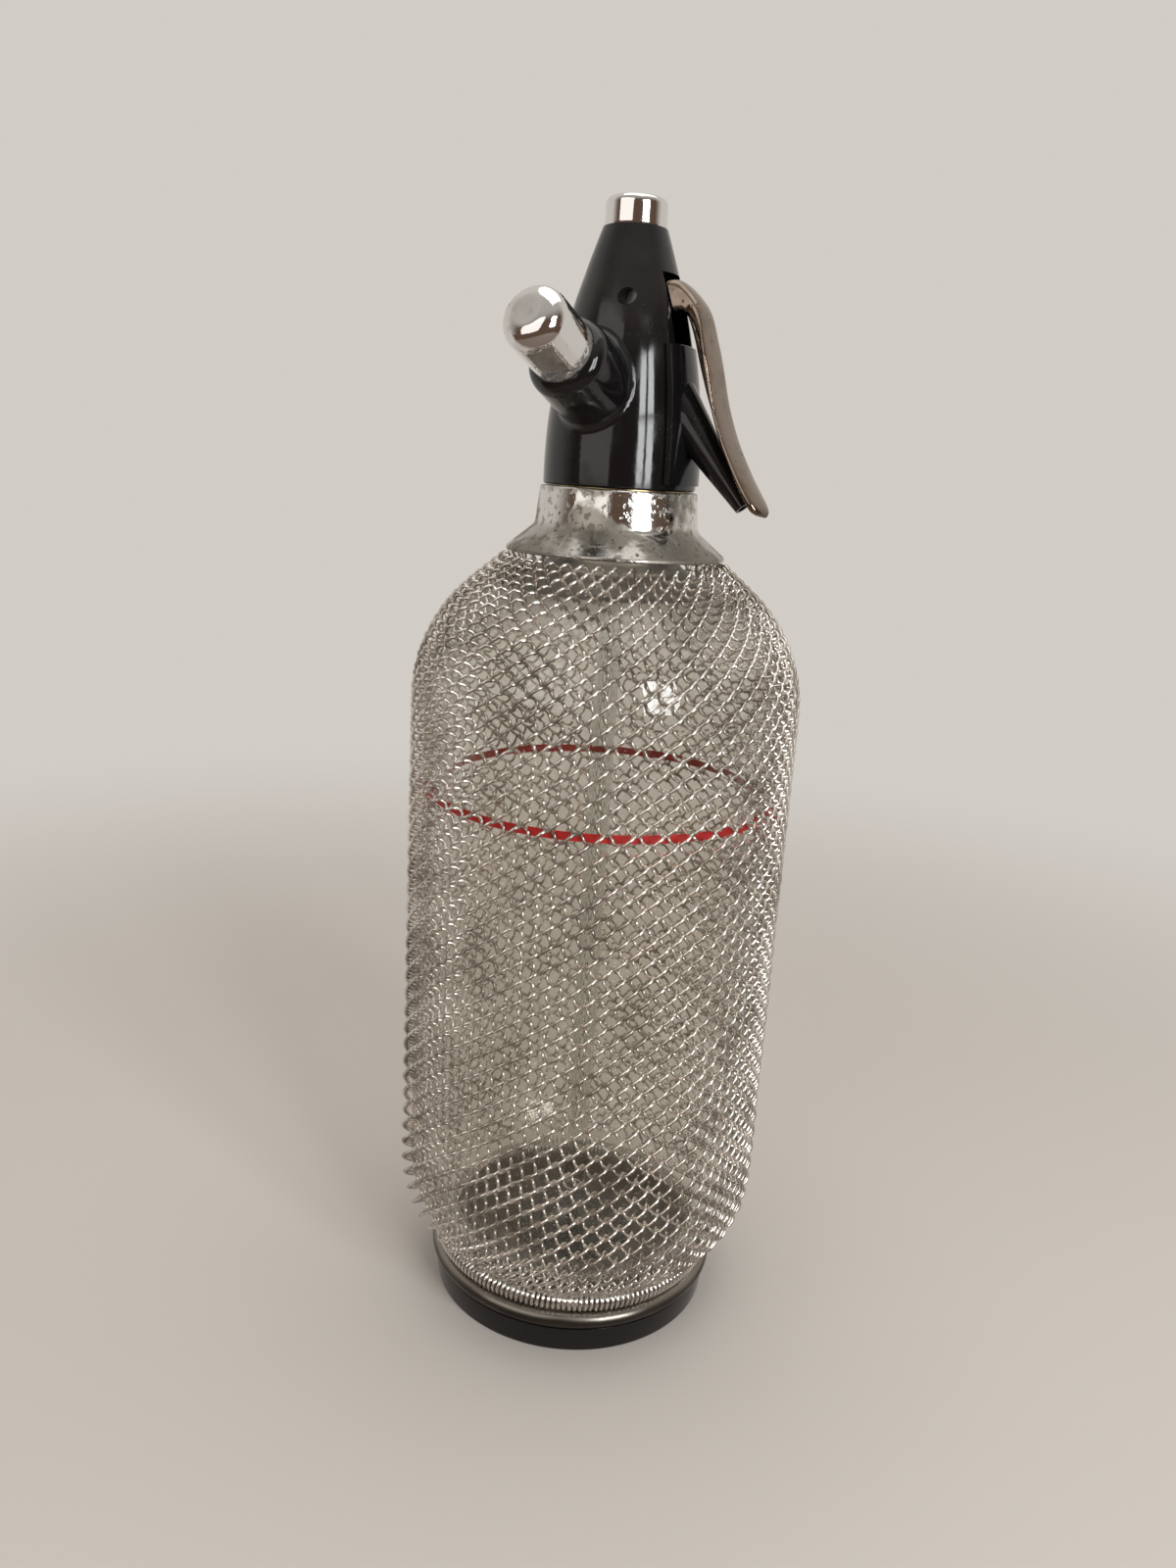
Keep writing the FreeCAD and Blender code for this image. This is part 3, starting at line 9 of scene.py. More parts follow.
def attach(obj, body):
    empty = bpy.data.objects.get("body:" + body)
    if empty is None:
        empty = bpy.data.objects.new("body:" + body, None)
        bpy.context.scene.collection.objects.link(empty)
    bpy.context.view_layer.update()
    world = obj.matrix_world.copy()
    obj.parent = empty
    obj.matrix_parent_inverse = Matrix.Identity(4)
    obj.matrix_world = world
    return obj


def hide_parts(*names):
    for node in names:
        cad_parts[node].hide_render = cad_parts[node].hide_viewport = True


bl_info = {
    "name": "Soda siphon with wire-mesh sleeve",
    "version": (1, 0, 0),
    "blender": (4, 5, 0),
    "location": "View3D > Sidebar > Siphon",
    "description": "Dresses the packed siphon with its wire mesh, mouldings and finishes",
    "category": "Object",
}

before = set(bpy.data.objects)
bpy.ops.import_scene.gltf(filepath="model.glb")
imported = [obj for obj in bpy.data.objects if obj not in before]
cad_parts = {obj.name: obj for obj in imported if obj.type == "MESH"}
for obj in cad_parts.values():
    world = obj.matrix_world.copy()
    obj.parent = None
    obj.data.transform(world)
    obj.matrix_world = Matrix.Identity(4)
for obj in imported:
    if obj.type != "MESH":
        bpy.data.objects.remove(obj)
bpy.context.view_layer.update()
MM = 0.001
AHEAD = (-0.5, 0.866, 0.0)
UP = (0.0, 0.0, 1.0)


# ------------------------------------------------------------------ mesh tools

def grid_faces(rows, columns, wrap):
    """Quads of a grid of points numbered row by row. Each row closes on itself, and with wrap
    the last row meets the first."""
    i = np.arange(rows if wrap else rows - 1)[:, None]
    j = np.arange(columns)[None, :]
    after_i = (i + 1) % rows
    after_j = (j + 1) % columns
    quads = [i * columns + j, i * columns + after_j,
             after_i * columns + after_j, after_i * columns + j]
    return np.stack(quads, axis=-1).reshape(-1, 4)


def piece(name, points, quads, material, body, caps=(), sharp=40.0):
    """A mesh from points in millimetres, quads and any closing faces, riding on a body."""
    mesh = bpy.data.meshes.new(name)
    caps = [np.asarray(cap) for cap in caps]
    corners = np.concatenate([quads.ravel()] + caps).astype(np.int32)
    counts = np.array([4] * len(quads) + [len(cap) for cap in caps], dtype=np.int32)
    starts = np.concatenate([[0], np.cumsum(counts)[:-1]]).astype(np.int32)
    mesh.vertices.add(len(points))
    mesh.vertices.foreach_set("co", (np.asarray(points) * MM).astype(np.float32).ravel())
    mesh.loops.add(len(corners))
    mesh.loops.foreach_set("vertex_index", corners)
    mesh.polygons.add(len(counts))
    mesh.polygons.foreach_set("loop_start", starts)
    mesh.update(calc_edges=True)
    mesh.validate()
    mesh.polygons.foreach_set("use_smooth", np.ones(len(mesh.polygons), dtype=bool))
    mesh.set_sharp_from_angle(angle=math.radians(sharp))
    mesh.materials.append(material)
    item = bpy.data.objects.new(name, mesh)
    bpy.context.scene.collection.objects.link(item)
    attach(item, body)
    return item


def rounded(corners, steps=5):
    """A profile with each corner cut back by its own length and bridged by the parabola
    (1-t)^2 A + 2t(1-t) P + t^2 B between the cut points A and B, with P the corner."""
    data = np.array(corners, dtype=float)
    spot, cut = data[:, :2], data[:, 2:3]
    before = np.roll(spot, 1, axis=0) - spot
    after = np.roll(spot, -1, axis=0) - spot
    first = spot + before / np.linalg.norm(before, axis=1, keepdims=True) * cut
    last = spot + after / np.linalg.norm(after, axis=1, keepdims=True) * cut
    t = np.linspace(0, 1, steps)[None, :, None]
    curve = ((1 - t) ** 2 * first[:, None] + 2 * t * (1 - t) * spot[:, None]
             + t ** 2 * last[:, None])
    return curve.reshape(-1, 2)


def spline(points, count):
    """A smooth line through the points: Catmull-Rom, at even steps of the points' number."""
    knots = np.array(points, dtype=float)
    full = np.vstack([2 * knots[0] - knots[1], knots, 2 * knots[-1] - knots[-2]])
    u = np.linspace(0, len(knots) - 1, count)
    i = np.minimum(u.astype(int), len(knots) - 2)
    t = (u - i)[:, None]
    a, b, c, d = full[i], full[i + 1], full[i + 2], full[i + 3]
    return 0.5 * (2 * b + (c - a) * t + (2 * a - 5 * b + 4 * c - d) * t ** 2
                  + (3 * b - a - 3 * c + d) * t ** 3)


def lathe(profile, turns):
    """Each profile point (r, z) carried round the axis: (r cos a, r sin a, z)."""
    a = np.linspace(0, 2 * np.pi, turns, endpoint=False)
    r, z = profile[:, :1], profile[:, 1:]
    points = np.stack([r * np.cos(a), r * np.sin(a), z + 0 * a], axis=-1)
    return points.reshape(-1, 3)


def turned(name, profile, material, body, sharp=40.0):
    """A turned ring: the closed profile carried round the axis in 160 steps. Its area, as the
    half sum of r1 z2 - r2 z1, tells which way its points run and so which way faces look."""
    profile = np.asarray(profile, dtype=float)
    turns = 160
    quads = grid_faces(len(profile), turns, True)
    r, z = profile.T
    area = np.sum(r * np.roll(z, -1) - np.roll(r, -1) * z) / 2
    if area > 0:
        quads = quads[:, ::-1]
    return piece(name, lathe(profile, turns), quads, material, body, sharp=sharp)


def even(points, count):
    """The smooth line through the points, in steps of equal length, read off 300 points."""
    line = spline(points, 300)
    way = np.concatenate([[0], np.cumsum(np.linalg.norm(np.diff(line, axis=0), axis=1))])
    steps = np.linspace(0, way[-1], count)
    return np.stack([np.interp(steps, way, line[:, k]) for k in (0, 1)], axis=1)


def bar(name, upper, lower, width, material, body, crown=0.0, tip=0.0, across=0.0):
    """A bar between an upper and a lower line in the XZ plane. Round its section, with q from
    0 to 2 pi, c = sign(cos q) |cos q|^0.35 and s = sign(sin q) |sin q|^0.5, a point lies at
    (1+s)/2 of the way up from the lower line and at across + c times half the width to the
    side; its upper face rises by crown times (1-c^2) s. The widths are spread evenly along
    it. Over the last share called tip, width and height shrink as sqrt(1-v^2), v running
    from 0 to 1."""
    count, sides = 64, 32
    thinnest = 0.02
    top, bottom = even(upper, count), even(lower, count)
    u = np.linspace(0, 1, count)
    v = np.clip((u - 1 + tip) / max(tip, 1e-6), 0, 1) * (tip > 0)
    shrink = np.sqrt(np.clip(1 - v ** 2, thinnest ** 2, 1))
    q = np.linspace(0, 2 * np.pi, sides, endpoint=False)
    c = np.sign(np.cos(q)) * np.abs(np.cos(q)) ** 0.35
    s = np.sign(np.sin(q)) * np.abs(np.sin(q)) ** 0.5
    half = np.interp(u, np.linspace(0, 1, len(width)), width) / 2 * shrink
    middle, lift = (top + bottom) / 2, (top - bottom) / 2 * shrink[:, None]
    rise = lift / np.linalg.norm(lift, axis=1, keepdims=True)
    swell = crown * (1 - c ** 2) * np.clip(s, 0, 1)
    place = (middle[:, None] + lift[:, None] * s[None, :, None]
             + rise[:, None] * swell[None, :, None])
    side = across + half[:, None] * c[None, :]
    points = np.stack([place[..., 0], side, place[..., 1]], axis=-1).reshape(-1, 3)
    quads = grid_faces(count, sides, False)
    caps = [np.arange(sides), (count - 1) * sides + np.arange(sides)[::-1]]
    return piece(name, points, quads, material, body, caps, sharp=50.0)


# -------------------------------------------------------------- material tools

class Sock:
    """A shader value; sums, differences and products of it add their Math nodes."""

    def __init__(self, graph, socket):
        self.graph = graph
        self.socket = socket

    def math(self, operation, other):
        return self.graph.add("ShaderNodeMath", {"operation": operation}, {0: self, 1: other})

    def __add__(self, other):
        return self.math("ADD", other)

    def __sub__(self, other):
        return self.math("SUBTRACT", other)

    def __mul__(self, other):
        return self.math("MULTIPLY", other)

    def __radd__(self, other):
        return self.math("ADD", other)

    def __rsub__(self, other):
        return self.graph.add("ShaderNodeMath", {"operation": "SUBTRACT"}, {0: other, 1: self})

    def ramp(self, low, high):
        """0 below low, 1 above high, smooth between."""
        return self.graph.add("ShaderNodeMapRange", {"interpolation_type": "SMOOTHSTEP"},
                              {"Value": self, "From Min": low, "From Max": high})


class Graph:
    """The nodes of a material or a world under construction, and the place they shade."""

    def __init__(self, owner, coordinates="Object"):
        self.owner = owner
        owner.use_nodes = True
        self.tree = owner.node_tree
        self.tree.nodes.clear()
        self.place = self.add("ShaderNodeTexCoord", {}, {}, coordinates)

    def add(self, kind, settings, values, output=0):
        """A node of the kind, with settings made first and then its sockets filled."""
        node = self.tree.nodes.new(kind)
        for key, value in settings.items():
            setattr(node, key, value)
        for key, value in values.items():
            socket = node.inputs[key]
            if isinstance(value, Sock):
                self.tree.links.new(value.socket, socket)
            else:
                socket.default_value = value
        return Sock(self, node.outputs[output] if len(node.outputs) else None)

    def noise(self, scale, detail=3.0, stretch=None):
        """Noise on object coordinates; scale is in waves per metre."""
        place = self.place
        if stretch:
            place = self.add("ShaderNodeVectorMath", {"operation": "MULTIPLY"},
                             {0: place, 1: stretch})
        return self.add("ShaderNodeTexNoise", {}, {"Vector": place, "Scale": scale,
                                                   "Detail": detail}, "Fac")

    def radius(self):
        """Distance from the bottle's axis in metres."""
        flat = self.add("ShaderNodeVectorMath", {"operation": "MULTIPLY"},
                        {0: self.place, 1: (1.0, 1.0, 0.0)})
        return self.add("ShaderNodeVectorMath", {"operation": "LENGTH"}, {0: flat}, "Value")

    def along(self, direction):
        """How far the place lies along a direction of length 1."""
        return self.add("ShaderNodeVectorMath", {"operation": "DOT_PRODUCT"},
                        {0: self.place, 1: direction}, "Value")

    def height(self):
        """Height over the table in metres."""
        return self.along(UP)

    def specks(self, scale, size):
        """Small round spots: 1 inside them, 0 outside; size is their share of a cell."""
        cell = self.add("ShaderNodeTexVoronoi", {}, {"Vector": self.place, "Scale": scale},
                        "Distance")
        return 1 - cell.ramp(size * 0.5, size)

    def mix(self, share, first, second):
        """A colour between two colours."""
        return self.add("ShaderNodeMix", {"data_type": "RGBA"},
                        {0: share, 6: first, 7: second}, 2)

    def bump(self, height, depth, strength):
        """A Bump node for heights of the given depth in metres."""
        return self.add("ShaderNodeBump", {}, {"Height": height, "Distance": depth,
                                               "Strength": strength})

    def shade(self, values, share=None, kind=None, second_values=None):
        """The material with its surface shader; a share of it may be a shader of another kind."""
        shader = self.add("ShaderNodeBsdfPrincipled", {}, values)
        if kind:
            second = self.add(kind, {}, second_values)
            shader = self.add("ShaderNodeMixShader", {}, {0: share, 1: shader, 2: second})
        self.add("ShaderNodeOutputMaterial", {}, {"Surface": shader})
        return self.owner

    def ray(self, *kinds):
        """1 for rays of these kinds, else 0."""
        total = 0.0
        for kind in kinds:
            total = total + self.add("ShaderNodeLightPath", {}, {}, kind)
        return self.add("ShaderNodeClamp", {}, {0: total})


def new_material(name):
    """The graph of a new material."""
    return Graph(bpy.data.materials.new(name))


def rgba(color, factor=1.0):
    """A colour times a factor, with full alpha."""
    return tuple(part * factor for part in tuple(color)[:3]) + (1.0,)


def black_moulding(name, color, gloss):
    """Glossy black moulding: faint brown cloudiness, fingermark-like gloss changes, fine dust."""
    g = new_material(name)
    cloud = g.noise(35.0, 4.0)
    smudge = g.noise(120.0, 5.0, (1.0, 1.0, 0.6)).ramp(0.45, 0.75)
    dust = g.specks(900.0, 0.16) * g.noise(60.0).ramp(0.5, 0.7)
    tint = g.mix(cloud.ramp(0.35, 0.75), rgba(color), (0.012, 0.010, 0.009, 1.0))
    tint = g.mix(dust * 0.5, tint, (0.14, 0.13, 0.11, 1.0))
    rough = smudge * 0.16 + dust * 0.3 + cloud * 0.05 + gloss
    wave = g.bump(g.noise(90.0, 2.0), 0.00012, 0.35)
    return g.shade({"Base Color": tint, "Roughness": rough, "Normal": wave,
                    "Specular IOR Level": 0.5})


def dust_layer(g, low, high):
    """Years of dust under the bottle, out of a cloth's reach: 1 between two radii from the
    foot's upper face up, thinner in clouds, and 0 elsewhere."""
    away = g.radius()
    between = away.ramp(low, low + 0.005) * (1 - away.ramp(high - 0.002, high))
    film = g.noise(90.0, 6.0).ramp(0.2, 0.6)
    above = g.height().ramp(0.008, 0.009)
    return between * film * above


def dusty_moulding(name, color, dust):
    """Black moulding with dust on its upper face."""
    g = new_material(name)
    layer = dust_layer(g, 0.0215, 0.05)
    tint = g.mix(layer, rgba(color), rgba(dust))
    return g.shade({"Base Color": tint, "Roughness": layer * 0.6 + 0.14,
                    "Normal": g.bump(g.noise(90.0, 2.0), 0.00012, 0.35)})


def metal_with_painted_reflection(name, color, dust):
    """Metal in the dark colour it is given (on the base ring a painted reflection of dark
    surroundings), clouded, with a painted reflection of the spring as a lighter colour on the
    shoulder, and dust on the part inside the spring."""
    g = new_material(name)
    layer = dust_layer(g, 0.0215, 0.0475)
    cloud = g.noise(50.0, 6.0).ramp(0.4, 0.7)
    tint = g.mix(cloud, rgba(color), rgba(color, 0.6))
    # painted reflection of the spring: from 12.8 to 14.4 mm up, the shoulder turns to 2.4 times
    # the colour
    tint = g.mix(g.height().ramp(0.0128, 0.0144), tint, rgba(color, 2.4))
    tint = g.mix(layer, tint, rgba(dust))
    return g.shade({"Base Color": tint, "Roughness": layer * 0.6 + cloud * 0.12 + 0.25,
                    "Metallic": 1 - layer})


def plated(name, color, gloss, pits, joint=UP, grime=(1.0, 1.1)):
    """Chrome plate: soft gloss changes, small dark pits, a dull bloom where it is worn, and
    grime in a joint between two distances along a direction, which by default lie beyond
    the part, so that there is none."""
    g = new_material(name)
    bloom = g.noise(70.0, 6.0).ramp(0.5, 0.78)
    fine = g.noise(900.0, 2.0)
    spot = g.specks(330.0, 0.34) * g.noise(140.0, 3.0).ramp(0.52, 0.68) * pits
    along = g.along(joint)
    edge = 0.0007
    dirt = along.ramp(grime[0] - edge, grime[0] + edge)
    dirt = dirt * (1 - along.ramp(grime[1] - edge, grime[1] + edge)) * fine.ramp(0.3, 0.55)
    tint = g.mix(bloom * 0.35, rgba(color), (0.42, 0.37, 0.31, 1.0))
    tint = g.mix(spot * 0.85, tint, (0.05, 0.045, 0.04, 1.0))
    tint = g.mix(dirt * 0.8, tint, (0.07, 0.06, 0.05, 1.0))
    rough = bloom * 0.14 + spot * 0.4 + fine * 0.04 + dirt * 0.3 + gloss
    metal = 1 - spot * 0.6 - dirt * 0.5
    wave = g.bump(g.noise(160.0, 3.0) - spot * 0.6, 0.00008, 0.4)
    return g.shade({"Base Color": tint, "Roughness": rough, "Metallic": metal, "Normal": wave})


def worn_collar(name, color):
    """Old plate worn through in clouds, most on the flare: bright metal, dull grey-brown
    patches with frayed edges, dark pits and scratches round the neck."""
    g = new_material(name)
    cloud = g.noise(70.0, 12.0)
    flare = 1 - g.height().ramp(0.2735, 0.2775)
    edge = g.height().ramp(0.2845, 0.2872)
    worn = (cloud + flare * 0.07 + edge * 0.05).ramp(0.50, 0.60)
    grain = g.noise(800.0, 5.0)
    pit = (g.noise(420.0, 6.0) + worn * 0.06).ramp(0.58, 0.68)
    dark = g.specks(380.0, 0.30) * grain.ramp(0.48, 0.6)
    scratch = g.noise(260.0, 6.0, (1.0, 1.0, 14.0)).ramp(0.56, 0.7)
    tint = g.mix(worn * 0.9, rgba(color), (0.33, 0.31, 0.265, 1.0))
    tint = g.mix(flare * 0.6, tint, (0.22, 0.20, 0.17, 1.0))
    tint = g.mix(pit * 0.7, tint, (0.17, 0.155, 0.125, 1.0))
    tint = g.mix(dark * 0.85, tint, (0.045, 0.04, 0.035, 1.0))
    rough = worn * 0.26 + pit * 0.16 + scratch * 0.08 + grain * 0.06 + flare * 0.12 + 0.07
    height = grain * 0.45 - pit * 0.8 - dark * 0.8 - worn * 0.4
    return g.shade({"Base Color": tint, "Roughness": rough, "Metallic": 1 - pit * 0.3,
                    "Normal": g.bump(height, 0.00014, 0.6)})


def worn_lever_painted_reflection(name, color):
    """Chromed casting: mirror-bright in places with a brown tarnish, dull and grainy in others,
    peppered with dark pits. Its colours are kept dark and brown as a painted reflection of a
    brown room."""
    g = new_material(name)
    cloud = g.noise(55.0, 10.0)
    dull = cloud.ramp(0.55, 0.66)
    grain = g.noise(1300.0, 4.0)
    stain = g.noise(160.0, 8.0).ramp(0.5, 0.68)
    pit = g.specks(520.0, 0.32) * g.noise(210.0, 4.0).ramp(0.45, 0.58)
    # the given, dull and stain colours are dark browns: the stain patches are tarnish, and the
    # darkness of all three is a painted reflection of a brown room
    tint = g.mix(dull * 0.7, rgba(color), (0.21, 0.18, 0.152, 1.0))
    tint = g.mix(stain * 0.5, tint, (0.17, 0.12, 0.085, 1.0))
    tint = g.mix(pit * 0.85, tint, (0.06, 0.05, 0.045, 1.0))
    rough = dull * 0.2 + stain * 0.06 + grain * dull * 0.12 + pit * 0.2 + 0.05
    height = grain * dull * 0.6 - pit * 0.9 - stain * 0.2
    return g.shade({"Base Color": tint, "Roughness": rough, "Metallic": 1 - pit * 0.5,
                    "Normal": g.bump(height, 0.00012, 0.5)})


def wire_metal(name, color, dull, gloss):
    """Drawn wire: bright in clouds, dull and browner between them, with fine draw marks."""
    g = new_material(name)
    cloud = g.noise(60.0, 8.0).ramp(0.44, 0.66)
    fine = g.noise(1500.0, 2.0)
    tint = g.mix(cloud, rgba(color), rgba(dull))
    rough = cloud * 0.13 + fine * 0.05 + gloss
    return g.shade({"Base Color": tint, "Roughness": rough, "Metallic": 1.0,
                    "Normal": g.bump(fine, 0.00001, 0.3)})


def clear_glass(name, color, gloss, bend):
    """Clear glass or plastic with slow waves in its surface and a film that clouds it under
    the collar and near the foot; it lets the light through to what stands behind it."""
    g = new_material(name)
    wave = g.bump(g.noise(40.0, 2.0), 0.0003, 0.25)
    film = g.noise(25.0, 4.0).ramp(0.45, 0.8)
    high = g.height()
    haze = high.ramp(0.238, 0.262) * 0.30 + (1 - high.ramp(0.020, 0.045)) * 0.16
    tint = g.mix(film, rgba(color), rgba(color, 0.94))
    values = {"Base Color": tint, "Roughness": film * 0.04 + haze + gloss, "Normal": wave,
              "IOR": bend, "Transmission Weight": 1.0}
    through = g.ray("Is Shadow Ray", "Is Diffuse Ray")
    return g.shade(values, through, "ShaderNodeBsdfTransparent", {"Color": rgba(color)})


def turned_metal(name, color, gloss):
    """Lathe-turned metal with close rings."""
    g = new_material(name)
    rings = g.noise(2500.0, 2.0, (0.05, 0.05, 1.0))
    tint = g.mix(g.noise(90.0, 4.0), rgba(color), rgba(color, 0.7))
    return g.shade({"Base Color": tint, "Roughness": rings * 0.2 + gloss, "Metallic": 1.0,
                    "Normal": g.bump(rings, 0.00003, 0.5)})


def soft_rubber(name, color):
    """Black rubber with a fine tooth."""
    g = new_material(name)
    tooth = g.noise(1800.0, 3.0)
    tint = g.mix(g.noise(120.0), rgba(color), (0.05, 0.05, 0.048, 1.0))
    return g.shade({"Base Color": tint, "Roughness": tooth * 0.2 + 0.6,
                    "Normal": g.bump(tooth, 0.00003, 0.5)})


def red_paint(name, color):
    """Fired enamel line, thin in places."""
    g = new_material(name)
    thin = g.noise(600.0, 4.0)
    tint = g.mix(thin.ramp(0.5, 0.8), rgba(color), (0.3, 0.02, 0.015, 1.0))
    return g.shade({"Base Color": tint, "Roughness": thin * 0.2 + 0.35})


def dress(node, material):
    """Gives a CAD node a material."""
    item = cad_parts[node]
    item.data.materials.clear()
    item.data.materials.append(material)


# --------------------------------------------------------------------- sizes

class SleeveSizes(bpy.types.PropertyGroup):
    rows: IntProperty(name="Rows", description="Rows of coils up the sleeve", default=78, min=2)
    coils: IntProperty(name="Coils", description="Coils in each row", default=45, min=3)
    wire: FloatProperty(name="Wire", description="Wire diameter", default=0.00112,
                        unit="LENGTH")
    depth: FloatProperty(name="Coil depth", description="Outside depth of a coil",
                         default=0.0053, unit="LENGTH")
    color: FloatVectorProperty(name="Colour", description="Bright wire", subtype="COLOR",
                               default=(0.90, 0.86, 0.81), min=0, max=1)
    dull: FloatVectorProperty(name="Dull colour", description="Dulled wire", subtype="COLOR",
                              default=(0.50, 0.455, 0.40), min=0, max=1)


class BaseSizes(bpy.types.PropertyGroup):
    turns: IntProperty(name="Spring turns", description="Turns of the garter spring",
                       default=172, min=3)
    wire: FloatProperty(name="Spring wire", description="Wire diameter of the garter spring",
                        default=0.0012, unit="LENGTH")
    black: FloatVectorProperty(name="Black", description="Black moulding", subtype="COLOR",
                               default=(0.006, 0.006, 0.0065), min=0, max=1)
    # the base ring's dark colour is a painted reflection of dark surroundings on a bright metal
    # ring
    ring: FloatVectorProperty(name="Ring", description="Dark burnished base ring",
                              subtype="COLOR", default=(0.11, 0.10, 0.087), min=0, max=1)
    spring: FloatVectorProperty(name="Spring", description="Bright spring wire",
                                subtype="COLOR", default=(0.94, 0.92, 0.89), min=0, max=1)


class HeadSizes(bpy.types.PropertyGroup):
    black: FloatVectorProperty(name="Black", description="Black moulding", subtype="COLOR",
                               default=(0.005, 0.005, 0.006), min=0, max=1)
    chrome: FloatVectorProperty(name="Chrome", description="Bright caps", subtype="COLOR",
                                default=(0.80, 0.79, 0.78), min=0, max=1)
    collar: FloatVectorProperty(name="Collar", description="Worn collar", subtype="COLOR",
                                default=(0.74, 0.73, 0.70), min=0, max=1)


class LeverSizes(bpy.types.PropertyGroup):
    width: FloatProperty(name="Width", description="Width of the handle", default=0.0124,
                         unit="LENGTH")
    arm: FloatProperty(name="Arm", description="Width of the lever inside the head",
                       default=0.0096, unit="LENGTH")
    crown: FloatProperty(name="Crown", description="Rise of the handle's middle over its edges",
                         default=0.0009, unit="LENGTH")
    rib: FloatProperty(name="Rib", description="Width of the rib", default=0.0032,
                       unit="LENGTH")
    # the lever's dark brown colour is a painted reflection of a brown room on worn chrome
    color: FloatVectorProperty(name="Colour", description="Worn chrome", subtype="COLOR",
                               default=(0.28, 0.22, 0.175), min=0, max=1)


class StageSizes(bpy.types.PropertyGroup):
    lens: FloatProperty(name="Lens", description="Focal length on a 36 mm frame",
                        default=27.0)
    wall: FloatVectorProperty(name="Wall", description="Backdrop and floor", subtype="COLOR",
                              default=(0.64, 0.605, 0.565), min=0, max=1)
    room: FloatVectorProperty(name="Room", description="Side of the room that the camera is on",
                              subtype="COLOR", default=(0.115, 0.072, 0.05), min=0, max=1)


# ---------------------------------------------------------------- operators

class SIPHON_OT_stage(bpy.types.Operator):
    """Floor, soft lights, pale surroundings and the camera"""
    bl_idname = "siphon.stage"
    bl_label = "Stage"

    def execute(self, context):
        sizes = context.scene.siphon_stage
        scene = context.scene
        scene.view_settings.view_transform = "Standard"
        camera = bpy.data.objects.new("camera", bpy.data.cameras.new("camera"))
        camera.data.lens = sizes.lens
        camera.data.sensor_width = 36.0
        camera.data.clip_start = 0.01
        scene.collection.objects.link(camera)
        camera.matrix_world = camera_place(distance=0.390467, height=0.293682, pitch=0.263188,
                                           roll=0.0623, yaw=0.01023)
        scene.camera = camera
        corners = [(-3.0, -3.0, 0.0), (3.0, -3.0, 0.0), (3.0, 3.0, 0.0), (-3.0, 3.0, 0.0)]
        mesh = bpy.data.meshes.new("floor")
        mesh.from_pydata(corners, [], [(0, 1, 2, 3)])
        floor = bpy.data.objects.new("floor", mesh)
        scene.collection.objects.link(floor)
        mesh.materials.append(pale_floor("floor_paint", sizes.wall, sizes.room))
        for number, (side, level) in enumerate(((-1, 0.40), (1, 0.40), (-1, 0.73), (1, 0.73))):
            place = (1.02 + 0.055 * side, -0.48 + 0.118 * side, level)
            lamp("window_pane_%d" % number, place, target=(0.0, 0.0, level - 0.25),
                 width=0.19, height=0.30, power=2.2, color=(0.97, 0.99, 1.0))
        lamp("room", (-0.16, -1.06, 0.64), target=(0.0, 0.0, 0.15),
             width=1.0, height=0.8, power=2.8, color=(1.0, 0.98, 0.95))
        lamp("ceiling", (0.0, 0.1, 1.3), target=(0.0, 0.0, 0.2),
             width=1.0, height=1.0, power=3.0, color=(1.0, 0.99, 0.97))
        room_light(scene, sizes.wall, sizes.room)
        return {"FINISHED"}


def camera_place(distance, height, pitch, roll, yaw):
    """The camera's matrix: it looks along +Y, turned by yaw, dipped by pitch and rolled, and
    the whole is then turned 30 degrees about the upright axis. Angles are in radians."""
    ahead = np.array([-math.sin(yaw) * math.cos(pitch), math.cos(yaw) * math.cos(pitch),
                      -math.sin(pitch)])
    flat = np.array([math.cos(yaw), math.sin(yaw), 0.0])
    rise = np.cross(flat, ahead)
    right = math.cos(roll) * flat + math.sin(roll) * rise
    up = math.cos(roll) * rise - math.sin(roll) * flat
    place = Matrix(np.column_stack([right, up, -ahead, [0.0, -distance, height]]).tolist()
                   + [[0.0, 0.0, 0.0, 1.0]])
    return Matrix.Rotation(math.radians(30.0), 4, "Z") @ place


def lamp(name, place, target, width, height, power, color):
    """An area lamp at a place, facing a target; lengths in metres, power in watts."""
    light = bpy.data.lights.new(name, "AREA")
    light.shape = "RECTANGLE"
    light.size = width
    light.size_y = height
    light.energy = power
    light.color = color
    item = bpy.data.objects.new(name, light)
    away = np.array(place) - np.array(target)
    away = away / np.linalg.norm(away)
    side = np.cross([0.0, 0.0, 1.0], away) + np.array([1e-6, 0.0, 0.0])
    side = side / np.linalg.norm(side)
    rise = np.cross(away, side)
    columns = np.column_stack([side, rise, away, place])
    item.matrix_world = Matrix(columns.tolist() + [[0.0, 0.0, 0.0, 1.0]])
    bpy.context.scene.collection.objects.link(item)


def pale_floor(name, color, room):
    """A plain pale floor that takes the shadow and fades into the wall away from the object;
    on the camera's side bright metal mirrors the darker room in it."""
    g = new_material(name)
    tint = g.mix(g.noise(6.0), rgba(color), rgba(color, 0.98))
    near = (1 - g.along(AHEAD).ramp(-0.12, 0.10)) * g.ray("Is Glossy Ray")
    glow = g.mix(near, rgba(color), rgba(room))
    seen = g.ray("Is Camera Ray", "Is Glossy Ray", "Is Transmission Ray")
    far = g.radius().ramp(0.22, 0.85) * seen
    share = g.add("ShaderNodeMath", {"operation": "MAXIMUM"}, {0: far, 1: near * 0.8})
    return g.shade({"Base Color": tint, "Roughness": 0.8, "Specular IOR Level": 0.1},
                   share, "ShaderNodeEmission", {"Color": glow, "Strength": 1.0})


